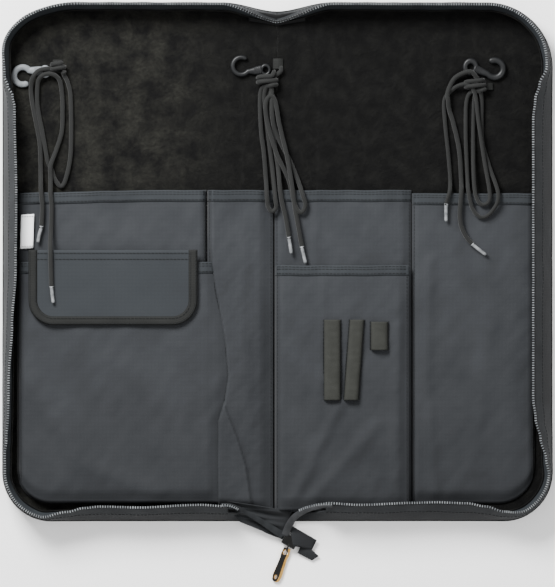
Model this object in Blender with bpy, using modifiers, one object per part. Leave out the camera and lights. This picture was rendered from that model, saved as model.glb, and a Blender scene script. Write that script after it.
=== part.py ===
"""Soft drum stick bag, unzipped and laid open like a book.

A 70 mm spine lies on the table between two covers that fold up on it. A padded wall with the two
halves of one zip runs round both covers. Fleece lines the inside, stick pockets are sewn across the
lower part, and three plastic hooks on cords hang the open bag from a drum.

Units are metres, +Z up, +X to the right, +Y to the bag's top. The origin is under the spine's centre.
"""

import math

import bmesh
import bpy
from mathutils import Matrix, Vector

MM = 0.001

# Overall plan, in mm
HALF_SPINE = 35.0
LEFT_EDGE = -252.0
RIGHT_EDGE = 253.0
HALF_HEIGHT = 238.0
CORNER_R = 45.0
SPINE_TOP = 230.0
WALL_START = 49.0
GAP = 0.3

# Layer heights, in mm
OUTER_Z = (0.0, 0.8)
PADDING_Z = (1.1, 4.6)
LINING_Z = (4.9, 6.7)
STICK_Z = (7.0, 13.9)
SECOND_Z = (14.2, 19.6)
LOOP_PATCH_Z = (19.9, 20.3)
HOOK_PATCH_Z = (20.6, 21.0)
FLAP_Z = (21.3, 22.2)
ELASTIC_Z = (19.9, 25.3)
GUSSET_Z = (2.0, 22.0)
TAPE_Z = (22.3, 31.0)
TEETH_Z = (31.3, 33.8)
BINDING_Z = (7.2, 13.0)
CLOTH = 0.9
WALL_T = 2.0
LAYER_INSET = 6.8

# Pockets, in mm
POCKET_TOP = 66.0
POCKET_BOTTOM = -220.0
CORD_D = 3.5
AGLET_D = 3.2
HOOK_WIRE = 2.0
HOOK_Z = 9.3

NYLON = (0.075, 0.085, 0.095)
FLEECE = (0.018, 0.017, 0.016)
WEBBING = (0.06, 0.062, 0.06)
CORD = (0.05, 0.052, 0.055)
PLASTIC = (0.03, 0.033, 0.036)
METAL = (0.10, 0.09, 0.07)
FOAM = (0.16, 0.16, 0.16)
LABEL = (0.85, 0.86, 0.88)


def clear_scene():
    """Remove every object, so the script gives the same result on each run."""
    for obj in list(bpy.data.objects):
        bpy.data.objects.remove(obj, do_unlink=True)


def new_collection(name):
    """Return a new collection linked to the scene."""
    group = bpy.data.collections.new(name)
    bpy.context.scene.collection.children.link(group)
    return group


def finish_with(obj, colour, roughness, metallic=0.0):
    """Give obj its own Principled material."""
    mat = bpy.data.materials.new(obj.name)
    mat.use_nodes = True
    shader = mat.node_tree.nodes["Principled BSDF"]
    shader.inputs["Base Color"].default_value = (*colour, 1.0)
    shader.inputs["Roughness"].default_value = roughness
    shader.inputs["Metallic"].default_value = metallic
    obj.data.materials.append(mat)
    return obj


def mesh_object(name, bm, group):
    """Turn a bmesh in mm into an object in metres."""
    bmesh.ops.scale(bm, vec=(MM, MM, MM), verts=bm.verts)
    bmesh.ops.recalc_face_normals(bm, faces=bm.faces)
    mesh = bpy.data.meshes.new(name)
    bm.to_mesh(mesh)
    bm.free()
    obj = bpy.data.objects.new(name, mesh)
    group.objects.link(obj)
    return obj


def move_origin(obj, point_mm):
    """Put the object's origin on point_mm without moving its shape."""
    point = Vector(point_mm) * MM
    obj.data.transform(Matrix.Translation(-point))
    obj.location = point


def arc(cx, cy, radius, start_deg, end_deg, steps):
    """Points of an arc, both ends included."""
    turns = [math.radians(start_deg + (end_deg - start_deg) * i / steps) for i in range(steps + 1)]
    return [(cx + radius * math.cos(t), cy + radius * math.sin(t)) for t in turns]


def rounded(x0, y0, x1, y1, radii, steps=5):
    """Outline of a rectangle; radii are for the lower left, lower right, upper right and upper left."""
    centres = ((x0, y0, 1, 1, 180), (x1, y0, -1, 1, 270), (x1, y1, -1, -1, 0), (x0, y1, 1, -1, 90))
    points = []
    for (x, y, sx, sy, start), radius in zip(centres, radii):
        if radius:
            points += arc(x + sx * radius, y + sy * radius, radius, start, start + 90, steps)
        else:
            points.append((x, y))
    return points


def plate(name, outline, z_range, group, colour, roughness, holes=()):
    """Flat piece: a filled 2D curve as thick as z_range."""
    curve = bpy.data.curves.new(name, "CURVE")
    curve.dimensions = "2D"
    curve.fill_mode = "BOTH"
    curve.extrude = (z_range[1] - z_range[0]) / 2 * MM
    for points in (outline, *holes):
        spline = curve.splines.new("POLY")
        spline.points.add(len(points) - 1)
        for vertex, (x, y) in zip(spline.points, points):
            vertex.co = (x * MM, y * MM, 0.0, 1.0)
        spline.use_cyclic_u = True
    obj = bpy.data.objects.new(name, curve)
    obj.location.z = (z_range[0] + z_range[1]) / 2 * MM
    group.objects.link(obj)
    return finish_with(obj, colour, roughness)


def smooth_route(points, spacing):
    """Points about spacing apart along the Catmull-Rom curve through points."""
    points = [Vector(p) for p in points]
    ends = [2 * points[0] - points[1], *points, 2 * points[-1] - points[-2]]
    route = []
    for a, b, c, d in zip(ends, ends[1:], ends[2:], ends[3:]):
        steps = max(1, round((c - b).length / spacing))
        for i in range(steps):
            t = i / steps
            route.append(
                0.5 * (2 * b + (c - a) * t + (2 * a - 5 * b + 4 * c - d) * t**2)
                + 0.5 * (3 * b - 3 * c + d - a) * t**3
            )
    return [*route, points[-1]]


def tube(name, points, radius, group, colour, roughness):
    """Round cord along points, with filled caps."""
    curve = bpy.data.curves.new(name, "CURVE")
    curve.dimensions = "3D"
    curve.bevel_depth = radius * MM
    curve.bevel_resolution = 2
    curve.use_fill_caps = True
    spline = curve.splines.new("POLY")
    spline.points.add(len(points) - 1)
    for vertex, p in zip(spline.points, points):
        vertex.co = (p[0] * MM, p[1] * MM, p[2] * MM, 1.0)
    obj = bpy.data.objects.new(name, curve)
    group.objects.link(obj)
    return finish_with(obj, colour, roughness)


def to_mesh(obj, group):
    """Replace a curve object with its evaluated mesh, caps welded."""
    bpy.context.view_layer.update()
    evaluated = obj.evaluated_get(bpy.context.evaluated_depsgraph_get())
    mesh = bpy.data.meshes.new_from_object(evaluated)
    bm = bmesh.new()
    bm.from_mesh(mesh)
    bmesh.ops.remove_doubles(bm, verts=bm.verts, dist=1e-6)
    bm.to_mesh(mesh)
    bm.free()
    name = obj.name
    matrix = obj.matrix_world.copy()
    bpy.data.objects.remove(obj, do_unlink=True)
    solid = bpy.data.objects.new(name, mesh)
    solid.matrix_world = matrix
    group.objects.link(solid)
    return solid


def boolean(obj, tool, operation, hidden):
    """Cut obj with tool, or join them; the tool becomes a hidden guide."""
    for other in list(tool.users_collection):
        other.objects.unlink(tool)
    hidden.objects.link(tool)
    tool.hide_render = True
    tool.display_type = "WIRE"
    modifier = obj.modifiers.new(tool.name, "BOOLEAN")
    modifier.operation = operation
    modifier.object = tool
    modifier.solver = "EXACT"


def box_mesh(x0, y0, z0, x1, y1, z1):
    """A bmesh box between two corners, in mm."""
    bm = bmesh.new()
    bmesh.ops.create_cube(bm, size=1.0)
    bmesh.ops.scale(bm, vec=(x1 - x0, y1 - y0, z1 - z0), verts=bm.verts)
    bmesh.ops.translate(bm, vec=((x0 + x1) / 2, (y0 + y1) / 2, (z0 + z1) / 2), verts=bm.verts)
    return bm


def pocket(name, x_range, y_range, z_range, group, hidden, open_bottom=False):
    """Patch pocket: three sewn sides and a front, open towards +Y and to the cloth below."""
    (x0, x1), (y0, y1), (z0, z1) = x_range, y_range, z_range
    body = mesh_object(name, box_mesh(x0, y0, z0, x1, y1, z1), group)
    floor = y0 - 5 if open_bottom else y0 + 2.0
    inner = box_mesh(x0 + 2.0, floor, z0 - 5, x1 - 2.0, y1 + 5, z1 - CLOTH)
    hollow = mesh_object(f"{name}_hollow", inner, hidden)
    boolean(body, hollow, "DIFFERENCE", hidden)
    return finish_with(body, NYLON, 0.85)


class Rim:
    """The edge of one cover: where the wall stands and how far it leans in at each place."""

    def __init__(self, side, lean):
        """side is -1 or 1; lean holds (distance along the edge, inset of the zip's teeth), in mm."""
        self.side = side
        self.lean = lean
        self.edge = abs(LEFT_EDGE if side < 0 else RIGHT_EDGE)

    def samples(self):
        """Plan points with outward direction and distance along the edge, from top to bottom."""
        straight = self.edge - CORNER_R - WALL_START
        quarter = CORNER_R * math.pi / 2
        flank = 2 * (HALF_HEIGHT - CORNER_R)
        found = []
        for i in range(7):
            x = WALL_START + straight * i / 7
            found.append((x, HALF_HEIGHT, 90.0, straight * i / 7))
        for i in range(9):
            turn = 90.0 - 90.0 * i / 8
            found.append((*self.corner(turn, 1), turn, straight + quarter * i / 8))
        for i in range(1, 16):
            y = HALF_HEIGHT - CORNER_R - flank * i / 16
            found.append((self.edge, y, 0.0, straight + quarter + flank * i / 16))
        for i in range(9):
            turn = -90.0 * i / 8
            found.append((*self.corner(turn, -1), turn, straight + quarter + flank + quarter * i / 8))
        for i in range(1, 8):
            x = self.edge - CORNER_R - straight * i / 7
            found.append((x, -HALF_HEIGHT, -90.0, straight + 2 * quarter + flank + straight * i / 7))
        return found

    def corner(self, turn, sign):
        """Point of the upper (sign 1) or lower (sign -1) corner's arc."""
        a = math.radians(turn)
        return (
            self.edge - CORNER_R + CORNER_R * math.cos(a),
            sign * (HALF_HEIGHT - CORNER_R) + CORNER_R * math.sin(a),
        )

    def inset(self, along):
        """Inset of the teeth at a distance along the edge, eased between the given places."""
        for (s0, a0), (s1, a1) in zip(self.lean, self.lean[1:]):
            if along <= s1:
                t = max(0.0, (along - s0) / (s1 - s0))
                return a0 + (a1 - a0) * t * t * (3 - 2 * t)
        return self.lean[-1][1]

    def ring(self, z, extra):
        """Points of the wall at height z, a further extra inside it."""
        points = []
        for x, y, turn, along in self.samples():
            a = math.radians(turn)
            depth = extra + self.inset(along) * z / TEETH_Z[1]
            points.append((self.side * (x - depth * math.cos(a)), y - depth * math.sin(a), z))
        return points


def wall_band(name, rim, z_range, extra, thickness, group, colour, roughness):
    """Strip of the wall between two heights, thickened inwards."""
    bm = bmesh.new()
    edges = []
    for z in z_range:
        row = [bm.verts.new(p) for p in rim.ring(z, extra + thickness / 2)]
        edges += [bm.edges.new(pair) for pair in zip(row, row[1:])]
    bmesh.ops.bridge_loops(bm, edges=edges)
    obj = mesh_object(name, bm, group)
    solidify = obj.modifiers.new("thickness", "SOLIDIFY")
    solidify.thickness = thickness * MM
    solidify.offset = 0.0
    solidify.use_even_offset = True
    return finish_with(obj, colour, roughness)


def loft(name, sections, group, colour, roughness):
    """Closed solid through sections (y, x low, x high, z low, z high), corners cut."""
    bm = bmesh.new()
    loops = []
    for y, x0, x1, z0, z1 in sections:
        cut = min(x1 - x0, z1 - z0) * 0.28
        ring = [
            (x0 + cut, z0), (x1 - cut, z0), (x1, z0 + cut), (x1, z1 - cut),
            (x1 - cut, z1), (x0 + cut, z1), (x0, z1 - cut), (x0, z0 + cut),
        ]
        verts = [bm.verts.new((x, y, z)) for x, z in ring]
        loops.append([bm.edges.new((a, b)) for a, b in zip(verts, verts[1:] + verts[:1])])
    for low, high in zip(loops, loops[1:]):
        bmesh.ops.bridge_loops(bm, edges=low + high)
    for end in (loops[0], loops[-1]):
        bmesh.ops.edgeloop_fill(bm, edges=end)
    return finish_with(mesh_object(name, bm, group), colour, roughness)


def rod(name, start, end, radii, group, colour, roughness, segments=12):
    """Straight tapered rod between two points, in mm."""
    a, b = Vector(start), Vector(end)
    turn = (b - a).to_track_quat("Z", "Y").to_matrix().to_4x4()
    bm = bmesh.new()
    bmesh.ops.create_cone(
        bm, cap_ends=True, segments=segments, radius1=radii[0], radius2=radii[1], depth=(b - a).length,
        matrix=Matrix.Translation((a + b) / 2) @ turn,
    )
    return finish_with(mesh_object(name, bm, group), colour, roughness)


def outer_shell(side, depth):
    """Outline of one cover's layer: straight at the fold, round at the two outer corners."""
    edge = abs(LEFT_EDGE if side < 0 else RIGHT_EDGE)
    fold, inset = depth
    r = CORNER_R - inset
    points = rounded(fold, -HALF_HEIGHT + inset, edge - inset, HALF_HEIGHT - inset, (0, r, r, 0), 8)
    return [(side * x, y) for x, y in points]


def cover(side, names, rim, group):
    """Layers and wall of one cover. names is the prefix, left or right."""
    for part, z, inset, colour in (
        ("outer_panel", OUTER_Z, 0.0, NYLON),
        ("padding", PADDING_Z, LAYER_INSET, FOAM),
        ("lining", LINING_Z, LAYER_INSET, FLEECE),
    ):
        fold = HALF_SPINE + z[1] + GAP
        plate(f"{names}_{part}", outer_shell(side, (fold, inset)), z, group, colour, 0.9)
    wall_band(f"{names}_gusset", rim, GUSSET_Z, GAP, WALL_T, group, NYLON, 0.9)
    wall_band(f"{names}_zip_tape", rim, TAPE_Z, GAP, WALL_T, group, WEBBING, 0.8)
    wall_band(f"{names}_zip_teeth", rim, TEETH_Z, GAP, WALL_T, group, PLASTIC, 0.4)
    wall_band(f"{names}_inner_binding", rim, BINDING_Z, 3.9, 1.0, group, WEBBING, 0.8)


def spine(group):
    """Layers of the spine and the sewn-down top ends of the zip."""
    for part, z, top in (
        ("outer_panel", OUTER_Z, SPINE_TOP),
        ("padding", PADDING_Z, SPINE_TOP - 8.0),
        ("lining", LINING_Z, SPINE_TOP - 8.0),
    ):
        half = HALF_SPINE - z[1] - GAP
        bottom = -HALF_HEIGHT + (0.0 if part == "outer_panel" else LAYER_INSET)
        colour = {"outer_panel": NYLON, "padding": FOAM, "lining": FLEECE}[part]
        plate(f"spine_{part}", rounded(-half, bottom, half, top, (0, 0, 0, 0)), z, group, colour, 0.9)
    bend = [(-26.0, 229.5), (26.0, 229.5), (26.0, 226.0), (4.0, 223.0), (-4.0, 223.0), (-26.0, 226.0)]
    plate("zip_top_end", bend[::-1], (7.0, 13.4), group, WEBBING, 0.8)


def pockets(group, hidden):
    """The row of stick pockets and the two pockets sewn on them."""
    y = (POCKET_BOTTOM, POCKET_TOP)
    pocket("left_stick_pocket", (-233.0, -64.3), y, STICK_Z, group, hidden)
    pocket("spine_pocket_side", (-64.0, -42.6), y, (STICK_Z[0], 13.5), group, hidden)
    pocket("spine_pocket", (-20.6, -2.6), y, STICK_Z, group, hidden)
    plate("spine_pocket_sheet", rounded(-2.2, y[0], 9.2, y[1], (0, 0, 0, 0)), (7.0, 8.2), group, NYLON, 0.9)
    pocket("centre_right_pocket", (42.4, 123.6), y, STICK_Z, group, hidden)
    pocket("right_stick_pocket", (124.0, 233.0), (POCKET_BOTTOM, 63.0), STICK_Z, group, hidden)
    pocket("accessory_pocket", (-230.0, -58.0), (-219.0, 0.0), SECOND_Z, group, hidden)
    pocket("tool_pocket", (42.4, 120.5), (-219.0, -3.0), SECOND_Z, group, hidden)
    loops = (
        ("long_elastic_loop_1", 43.0, 58.5, -127.0, -53.0),
        ("long_elastic_loop_2", 64.0, 77.5, -127.0, -53.0),
        ("short_elastic_loop", 86.0, 102.0, -81.0, -55.0),
    )
    for name, x0, x1, y0, y1 in loops:
        pocket(name, (x0, x1), (y0, y1), ELASTIC_Z, group, hidden, open_bottom=True)


def flap(group):
    """Flap of the accessory pocket, its bound edge and the two halves of its fastener."""
    x0, x1, y0, y1 = -228.0, -73.0, -58.0, 11.0
    edge = 8.0
    leaf = rounded(x0 + edge, y0 + edge, x1 - edge, y1, (15, 15, 0, 0))
    cloth = plate("accessory_flap", leaf, FLAP_Z, group, NYLON, 0.85)
    outside = rounded(x0, y0, x1, y1, (23, 23, 0, 0))
    inside = rounded(x0 + edge - GAP, y0 + edge - GAP, x1 - edge + GAP, y1, (15, 15, 0, 0))
    corner = [inside[-1], outside[-1]]
    binding = outside[:-2] + [outside[-2], inside[-2]] + inside[:-2][::-1] + corner
    trim = plate("flap_binding", binding, FLAP_Z, group, WEBBING, 0.8)
    patch = rounded(-180, -44, -120, -24, (2, 2, 2, 2), 2)
    hook = plate("flap_hook_patch", patch, HOOK_PATCH_Z, group, WEBBING, 0.95)
    plate("flap_loop_patch", patch, LOOP_PATCH_Z, group, WEBBING, 0.95)
    axis = bpy.data.objects.new("accessory_flap_axis", None)
    axis.location = (0.0, y1 * MM, HOOK_PATCH_Z[0] * MM)
    group.objects.link(axis)
    for obj in (cloth, trim, hook):
        obj.location -= axis.location
        obj.parent = axis


def hook(name, eye, curl, mirror, flip, group, hidden):
    """Plastic hook lying flat: eye, stem and open curl, one moulding. eye and curl are plan points."""
    route = [eye]
    radius = 7.9
    for turn in range(-40, -316, -18):
        a = math.radians(turn)
        route.append((curl[0] + mirror * radius * math.cos(a), curl[1] + flip * radius * math.sin(a)))
    toward = (Vector(route[1]) - Vector(eye)).normalized()
    start = Vector(eye) + toward * 4.2
    points = [(start.x, start.y, HOOK_Z)] + [(x, y, HOOK_Z) for x, y in route[1:]]
    body = to_mesh(tube(name, points, HOOK_WIRE, group, PLASTIC, 0.35), group)
    bpy.ops.mesh.primitive_torus_add(
        major_radius=3.6 * MM, minor_radius=1.3 * MM, major_segments=16, minor_segments=8,
        location=(eye[0] * MM, eye[1] * MM, HOOK_Z * MM),
    )
    ring = bpy.context.active_object
    ring.name = f"{name}_eye"
    boolean(body, ring, "UNION", hidden)
    move_origin(body, (eye[0] + mirror * 4.9, eye[1], HOOK_Z))
    return body


def cord_end(name, points, tip, group):
    """Free end of a cord through points, and its crimped aglet ending at tip."""
    route = smooth_route(points, 9.0)
    tube(f"{name}_tail", route, CORD_D / 2, group, CORD, 0.85)
    end = Vector(points[-1])
    step = (Vector(tip) - end).normalized()
    rod(f"{name}_aglet", end + step * 3 * GAP, tip, (AGLET_D / 2, AGLET_D / 2 - 0.4), group, METAL, 0.35)


def cords(group):
    """Tabs, hanging loops and free ends of the three cords."""
    tabs = (("left_cord_tab", -206.5, 176.0, -196.5, 186.0), ("centre_cord_tab", -4.0, 177.0, 6.0, 187.0),
            ("right_cord_tab", 188.5, 158.0, 199.0, 164.5))
    for name, *rect in tabs:
        plate(name, rounded(*rect, (2, 2, 2, 2), 2), (7.0, 8.2), group, WEBBING, 0.9)
    low = (7.1, 14.0)
    high = (14.3, 21.2)
    loft("left_hank", [(159, -199, -188, *low), (110, -200, -188, *low), (84, -203, -190, *low),
                       (72, -202, -192, *low)], group, CORD, 0.9)
    loft("centre_hank", [(166, -17, 0, *low), (110, -17, 4, *low), (80, -14, 20, *low),
                         (68, -12, 24, *high), (56, -10, 28, *high), (47, -8, 27, *high)], group, CORD, 0.9)
    loft("right_hank", [(158, 174, 187, *low), (110, 174, 193, *low), (80, 174, 203, *low),
                        (65, 174, 206, *high), (52, 176, 205, *high), (42, 184, 196, *high)], group, CORD, 0.9)
    flat = 8.9
    raised = 16.2
    over = 24.5
    cord_end("left_short", [(-222, 155, flat), (-218, 125, flat), (-216, 82, 9.5), (-215.4, 69, raised),
                            (-214.6, 50, raised), (-216.3, 33, raised)], (-219.6, 18, raised), group)
    cord_end("left_long", [(-211.5, 110, flat), (-209.5, 82, 9.5), (-208.2, 69, raised), (-207.2, 42, raised),
                           (-207.6, 25, 20.0), (-207.6, 13, over), (-207.2, -8, over), (-207, -23, over)],
             (-205.2, -37.5, over), group)
    cord_end("centre_short", [(6.2, 44.5, raised), (8.2, 36, raised), (10.9, 23, raised)],
             (13.2, 8, raised), group)
    cord_end("centre_long", [(18.0, 44.5, raised), (19.5, 32, raised), (22.4, 15, raised)],
             (25.8, -1, raised), group)
    cord_end("right_short", [(156.5, 156, flat), (154.6, 126, flat), (157.3, 100, flat), (159.2, 82, 9.5),
                             (158.6, 69, raised), (155.5, 53.4, raised)], (155.3, 38, raised), group)
    cord_end("right_long", [(164, 150, flat), (163, 128, flat), (167.4, 103, flat), (169.6, 82, 9.5),
                            (169.4, 69, raised), (168, 40.5, raised), (172.5, 25, raised), (179.3, 16.6, raised)],
             (191.9, 7, raised), group)


def ribbon(name, points, width, group):
    """Flat zip tape along points, lying face up."""
    route = smooth_route(points, 7.0)
    bm = bmesh.new()
    sides = []
    for side in (-1, 1):
        row = []
        for i, p in enumerate(route):
            ahead = route[min(i + 1, len(route) - 1)] - route[max(i - 1, 0)]
            across = Vector((ahead.y, -ahead.x, 0)).normalized()
            row.append(bm.verts.new(p + across * side * width / 2))
        sides += [bm.edges.new(pair) for pair in zip(row, row[1:])]
    bmesh.ops.bridge_loops(bm, edges=sides)
    obj = mesh_object(name, bm, group)
    solidify = obj.modifiers.new("thickness", "SOLIDIFY")
    solidify.thickness = 1.2 * MM
    solidify.offset = 0.0
    return finish_with(obj, WEBBING, 0.8)


def zip_tail(group, hidden):
    """The zip's lower end: two tapes running off the spine, slider, puller and end tab."""
    tail = [(-26, -233, 8.4), (-14, -240.5, 8.2), (-4, -247, 4.6), (4.2, -251.6, 2.6)]
    ribbon("zip_tail_left", tail, 9.0, group)
    ribbon("zip_tail_right", [(26, -231, 8.4), (23.5, -240.5, 8.2), (19, -247.5, 4.4)], 8.0, group)
    along = Vector((0.87, -0.5, 0)).normalized()
    turn = Matrix.Rotation(math.atan2(along.y, along.x), 4, "Z")
    seat = Matrix.Translation((12 * MM, -257 * MM, 0)) @ turn
    body = mesh_object("zip_slider", box_mesh(-7, -5, 0.5, 7, 5, 6.5), group)
    bevel = body.modifiers.new("edges", "BEVEL")
    bevel.width = 0.8 * MM
    bevel.segments = 2
    for side in (-1, 1):
        cut = box_mesh(-9, side * 4 - 2, 2.6, 9, side * 4 + 2, 4.4)
        slot = mesh_object(f"zip_slider_slot_{side}", cut, hidden)
        slot.data.transform(seat)
        boolean(body, slot, "DIFFERENCE", hidden)
    body.data.transform(seat)
    finish_with(body, METAL, 0.4, 0.6)
    hang = Vector((-0.35, -0.94, 0)).normalized()
    pivot = Vector((12, -257, 0)) + hang * 8.6 + Vector((0, 0, 1.7))
    swing = Matrix.Translation(pivot * MM) @ Matrix.Rotation(math.atan2(hang.y, hang.x), 4, "Z")
    for side in (-1, 1):
        lug = box_mesh(-5.0, side * 2.7 - 0.6, -1.1, 1.2, side * 2.7 + 0.6, 1.3)
        ear = mesh_object(f"zip_slider_ear_{side}", lug, hidden)
        ear.data.transform(swing)
        boolean(body, ear, "UNION", hidden)
    finish_puller(pivot, hang, hidden, group)
    tab = rounded(-9, -6, 9, 6, (1, 1, 1, 1), 2)
    turned = [Vector((x, y)).to_3d() for x, y in tab]
    placed = [(turn @ p) + Vector((31.6, -268.3, 0)) for p in turned]
    plate("zip_end_tab", [(p.x, p.y) for p in placed], (0.4, 2.6), group, WEBBING, 0.9)


def finish_puller(pivot, hang, hidden, group):
    """Flat pull that turns on a knuckle between the slider's ears."""
    puller = mesh_object("zip_puller", box_mesh(0, -4.2, -0.7, 30.5, 4.2, 0.7), group)
    notches = [box_mesh(-1.0, min(k * 1.6, k * 4.5), -3, 3.0, max(k * 1.6, k * 4.5), 3) for k in (-1, 1)]
    hole = box_mesh(25.2, -1.8, -3, 28.2, 1.8, 3)
    for i, cut in enumerate((*notches, hole)):
        boolean(puller, mesh_object(f"zip_puller_cut_{i}", cut, hidden), "DIFFERENCE", hidden)
    place = Matrix.Rotation(math.atan2(hang.y, hang.x), 4, "Z")
    place.translation = pivot * MM
    for obj in [puller] + [m.object for m in puller.modifiers]:
        obj.matrix_world = place
    return finish_with(puller, METAL, 0.4, 0.6)


def main():
    """Build the whole bag."""
    clear_scene()
    bag = new_collection("drum_stick_bag")
    hidden = new_collection("cutters")
    left = Rim(-1, [(0, 1.5), (158, 1.0), (229, 3.0), (273, 12.0), (429, 12.0), (567, 5.5), (610, 2.5),
                    (686, 5.0), (720, 12.0), (821, 13.0), (843, 11.0)])
    right = Rim(1, [(0, 1.5), (158, 1.0), (229, 3.5), (273, 17.0), (540, 17.0), (593, 7.4), (614, 3.0),
                    (686, 6.0), (726, 16.0), (799, 19.0), (843, 16.0)])
    spine(bag)
    cover(-1, "left", left, bag)
    cover(1, "right", right, bag)
    pockets(bag, hidden)
    flap(bag)
    label = [(-236, 12), (-224, 12.6), (-223, 44), (-235, 43.4)]
    plate("care_label", label, (14.2, 14.8), bag, LABEL, 0.7)
    cords(bag)
    for name, eye, curl, mirror, flip in (
        ("left_hook", (-213.0, 175.0), (-233.6, 171.0), 1, -1),
        ("centre_hook", (-10.5, 176.5), (-32.8, 180.2), 1, 1),
        ("right_hook", (178.0, 179.0), (200.0, 177.5), -1, 1),
    ):
        hook_body = hook(name, eye, curl, mirror, flip, bag, hidden)
        finish_with(hook_body, PLASTIC, 0.35)
    zip_tail(bag, hidden)


main()
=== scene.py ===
"""Looks of a soft drum stick bag, unzipped and laid open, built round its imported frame.

The bag is a spine between two covers that fold up on it. Each sub-assembly is a class whose fields
are its sizes in millimetres; every mesh is written in metres, in the frame's own axes.
"""

import functools
import logging
import math
from dataclasses import dataclass, field
from enum import Enum
from typing import Callable, Optional, Sequence

import bmesh
import bpy
from mathutils import Matrix, Vector, noise


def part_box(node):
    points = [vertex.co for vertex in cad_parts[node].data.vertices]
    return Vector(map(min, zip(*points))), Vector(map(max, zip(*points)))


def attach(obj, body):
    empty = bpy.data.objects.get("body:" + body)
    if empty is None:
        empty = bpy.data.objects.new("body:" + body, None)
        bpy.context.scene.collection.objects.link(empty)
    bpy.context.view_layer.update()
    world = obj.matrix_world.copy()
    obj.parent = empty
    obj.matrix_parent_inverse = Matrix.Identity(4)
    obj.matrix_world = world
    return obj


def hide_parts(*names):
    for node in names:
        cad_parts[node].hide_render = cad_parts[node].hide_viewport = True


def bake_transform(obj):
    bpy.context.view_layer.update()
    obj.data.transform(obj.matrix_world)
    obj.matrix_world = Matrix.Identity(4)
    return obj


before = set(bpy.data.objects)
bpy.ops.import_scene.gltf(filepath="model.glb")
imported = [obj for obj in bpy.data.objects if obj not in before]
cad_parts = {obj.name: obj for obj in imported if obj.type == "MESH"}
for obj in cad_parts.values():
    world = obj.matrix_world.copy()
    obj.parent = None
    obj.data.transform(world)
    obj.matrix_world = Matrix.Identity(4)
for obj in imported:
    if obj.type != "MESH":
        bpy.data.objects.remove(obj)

MM = 0.001
LOG = logging.getLogger("drum_stick_bag")
Place = Callable[[int, int], tuple[float, float, float]]
Chart = Callable[[int, int], tuple[float, float]]
Point = tuple[float, float, float]
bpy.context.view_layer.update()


class Side(Enum):
    """The two covers, with the sign of their X."""

    LEFT = -1
    RIGHT = 1

    @property
    def body(self) -> str:
        """Name of the cover's body in the frame."""
        return "left_cover" if self is Side.LEFT else "right_cover"

    @property
    def word(self) -> str:
        """Prefix of the names of the pieces on this side."""
        return "left" if self is Side.LEFT else "right"


# ---------------------------------------------------------------- numbers and shapes


def ease(t: float) -> float:
    """Smooth step from 0 to 1, held flat outside that range."""
    t = min(1.0, max(0.0, t))
    return t * t * (3 - 2 * t)


def blend_numbers(a: float, b: float, t: float) -> float:
    """Mix a into b by t."""
    return a + (b - a) * t


def bump(distance: float, width: float) -> float:
    """A rounded ridge of height 1 at distance 0."""
    return math.exp(-((distance / width) ** 2))


def ripple(x: float, y: float, size: float, seed: float = 0.0) -> float:
    """Smooth noise of about -1 to 1, with features about size millimetres across."""
    return noise.noise(Vector((x / size + seed, y / size - seed, seed)))


def keyed(keys: Sequence[tuple[float, float]], at: float) -> float:
    """Value at a place, eased between (place, value) pairs."""
    for (a, va), (b, vb) in zip(keys, keys[1:]):
        if at <= b:
            return blend_numbers(va, vb, ease((at - a) / (b - a)))
    return keys[-1][1]


def smooth_route(points: Sequence[Point], spacing: float) -> list[Vector]:
    """Points about spacing apart on the smooth curve through the given ones.

    Args:
        points: Places that the curve passes, in millimetres.
        spacing: Distance between the returned points, in millimetres.

    Returns:
        The curve's points.
    """
    knots = [Vector(p) for p in points]
    knots = [2 * knots[0] - knots[1], *knots, 2 * knots[-1] - knots[-2]]
    route: list[Vector] = []
    for a, b, c, d in zip(knots, knots[1:], knots[2:], knots[3:]):
        steps = max(1, round((c - b).length / spacing))
        for i in range(steps):
            t = i / steps
            route.append(
                0.5 * (2 * b + (c - a) * t + (2 * a - 5 * b + 4 * c - d) * t**2)
                + 0.5 * (3 * b - 3 * c + d - a) * t**3
            )
    return [*route, knots[-2]]


def lengths(route: Sequence[Vector]) -> list[float]:
    """Distance along the route to each of its points."""
    total, out = 0.0, [0.0]
    for a, b in zip(route, route[1:]):
        total += (b - a).length
        out.append(total)
    return out


@dataclass(frozen=True)
class Box:
    """A CAD node's box in millimetres."""

    x0: float
    x1: float
    y0: float
    y1: float
    z0: float
    z1: float

    @classmethod
    @functools.cache
    def of(cls, node: str) -> "Box":
        """Read the box of a node of the frame."""
        lo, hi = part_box(node)
        return cls(lo[0] / MM, hi[0] / MM, lo[1] / MM, hi[1] / MM, lo[2] / MM, hi[2] / MM)


# ---------------------------------------------------------------- meshes


def object_of(name: str, bm: bmesh.types.BMesh) -> bpy.types.Object:
    """Turn a bmesh in metres into a smooth-shaded object at the origin."""
    mesh = bpy.data.meshes.new(name)
    bm.to_mesh(mesh)
    bm.free()
    mesh.shade_smooth()
    obj = bpy.data.objects.new(name, mesh)
    bpy.context.scene.collection.objects.link(obj)
    return obj


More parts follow.
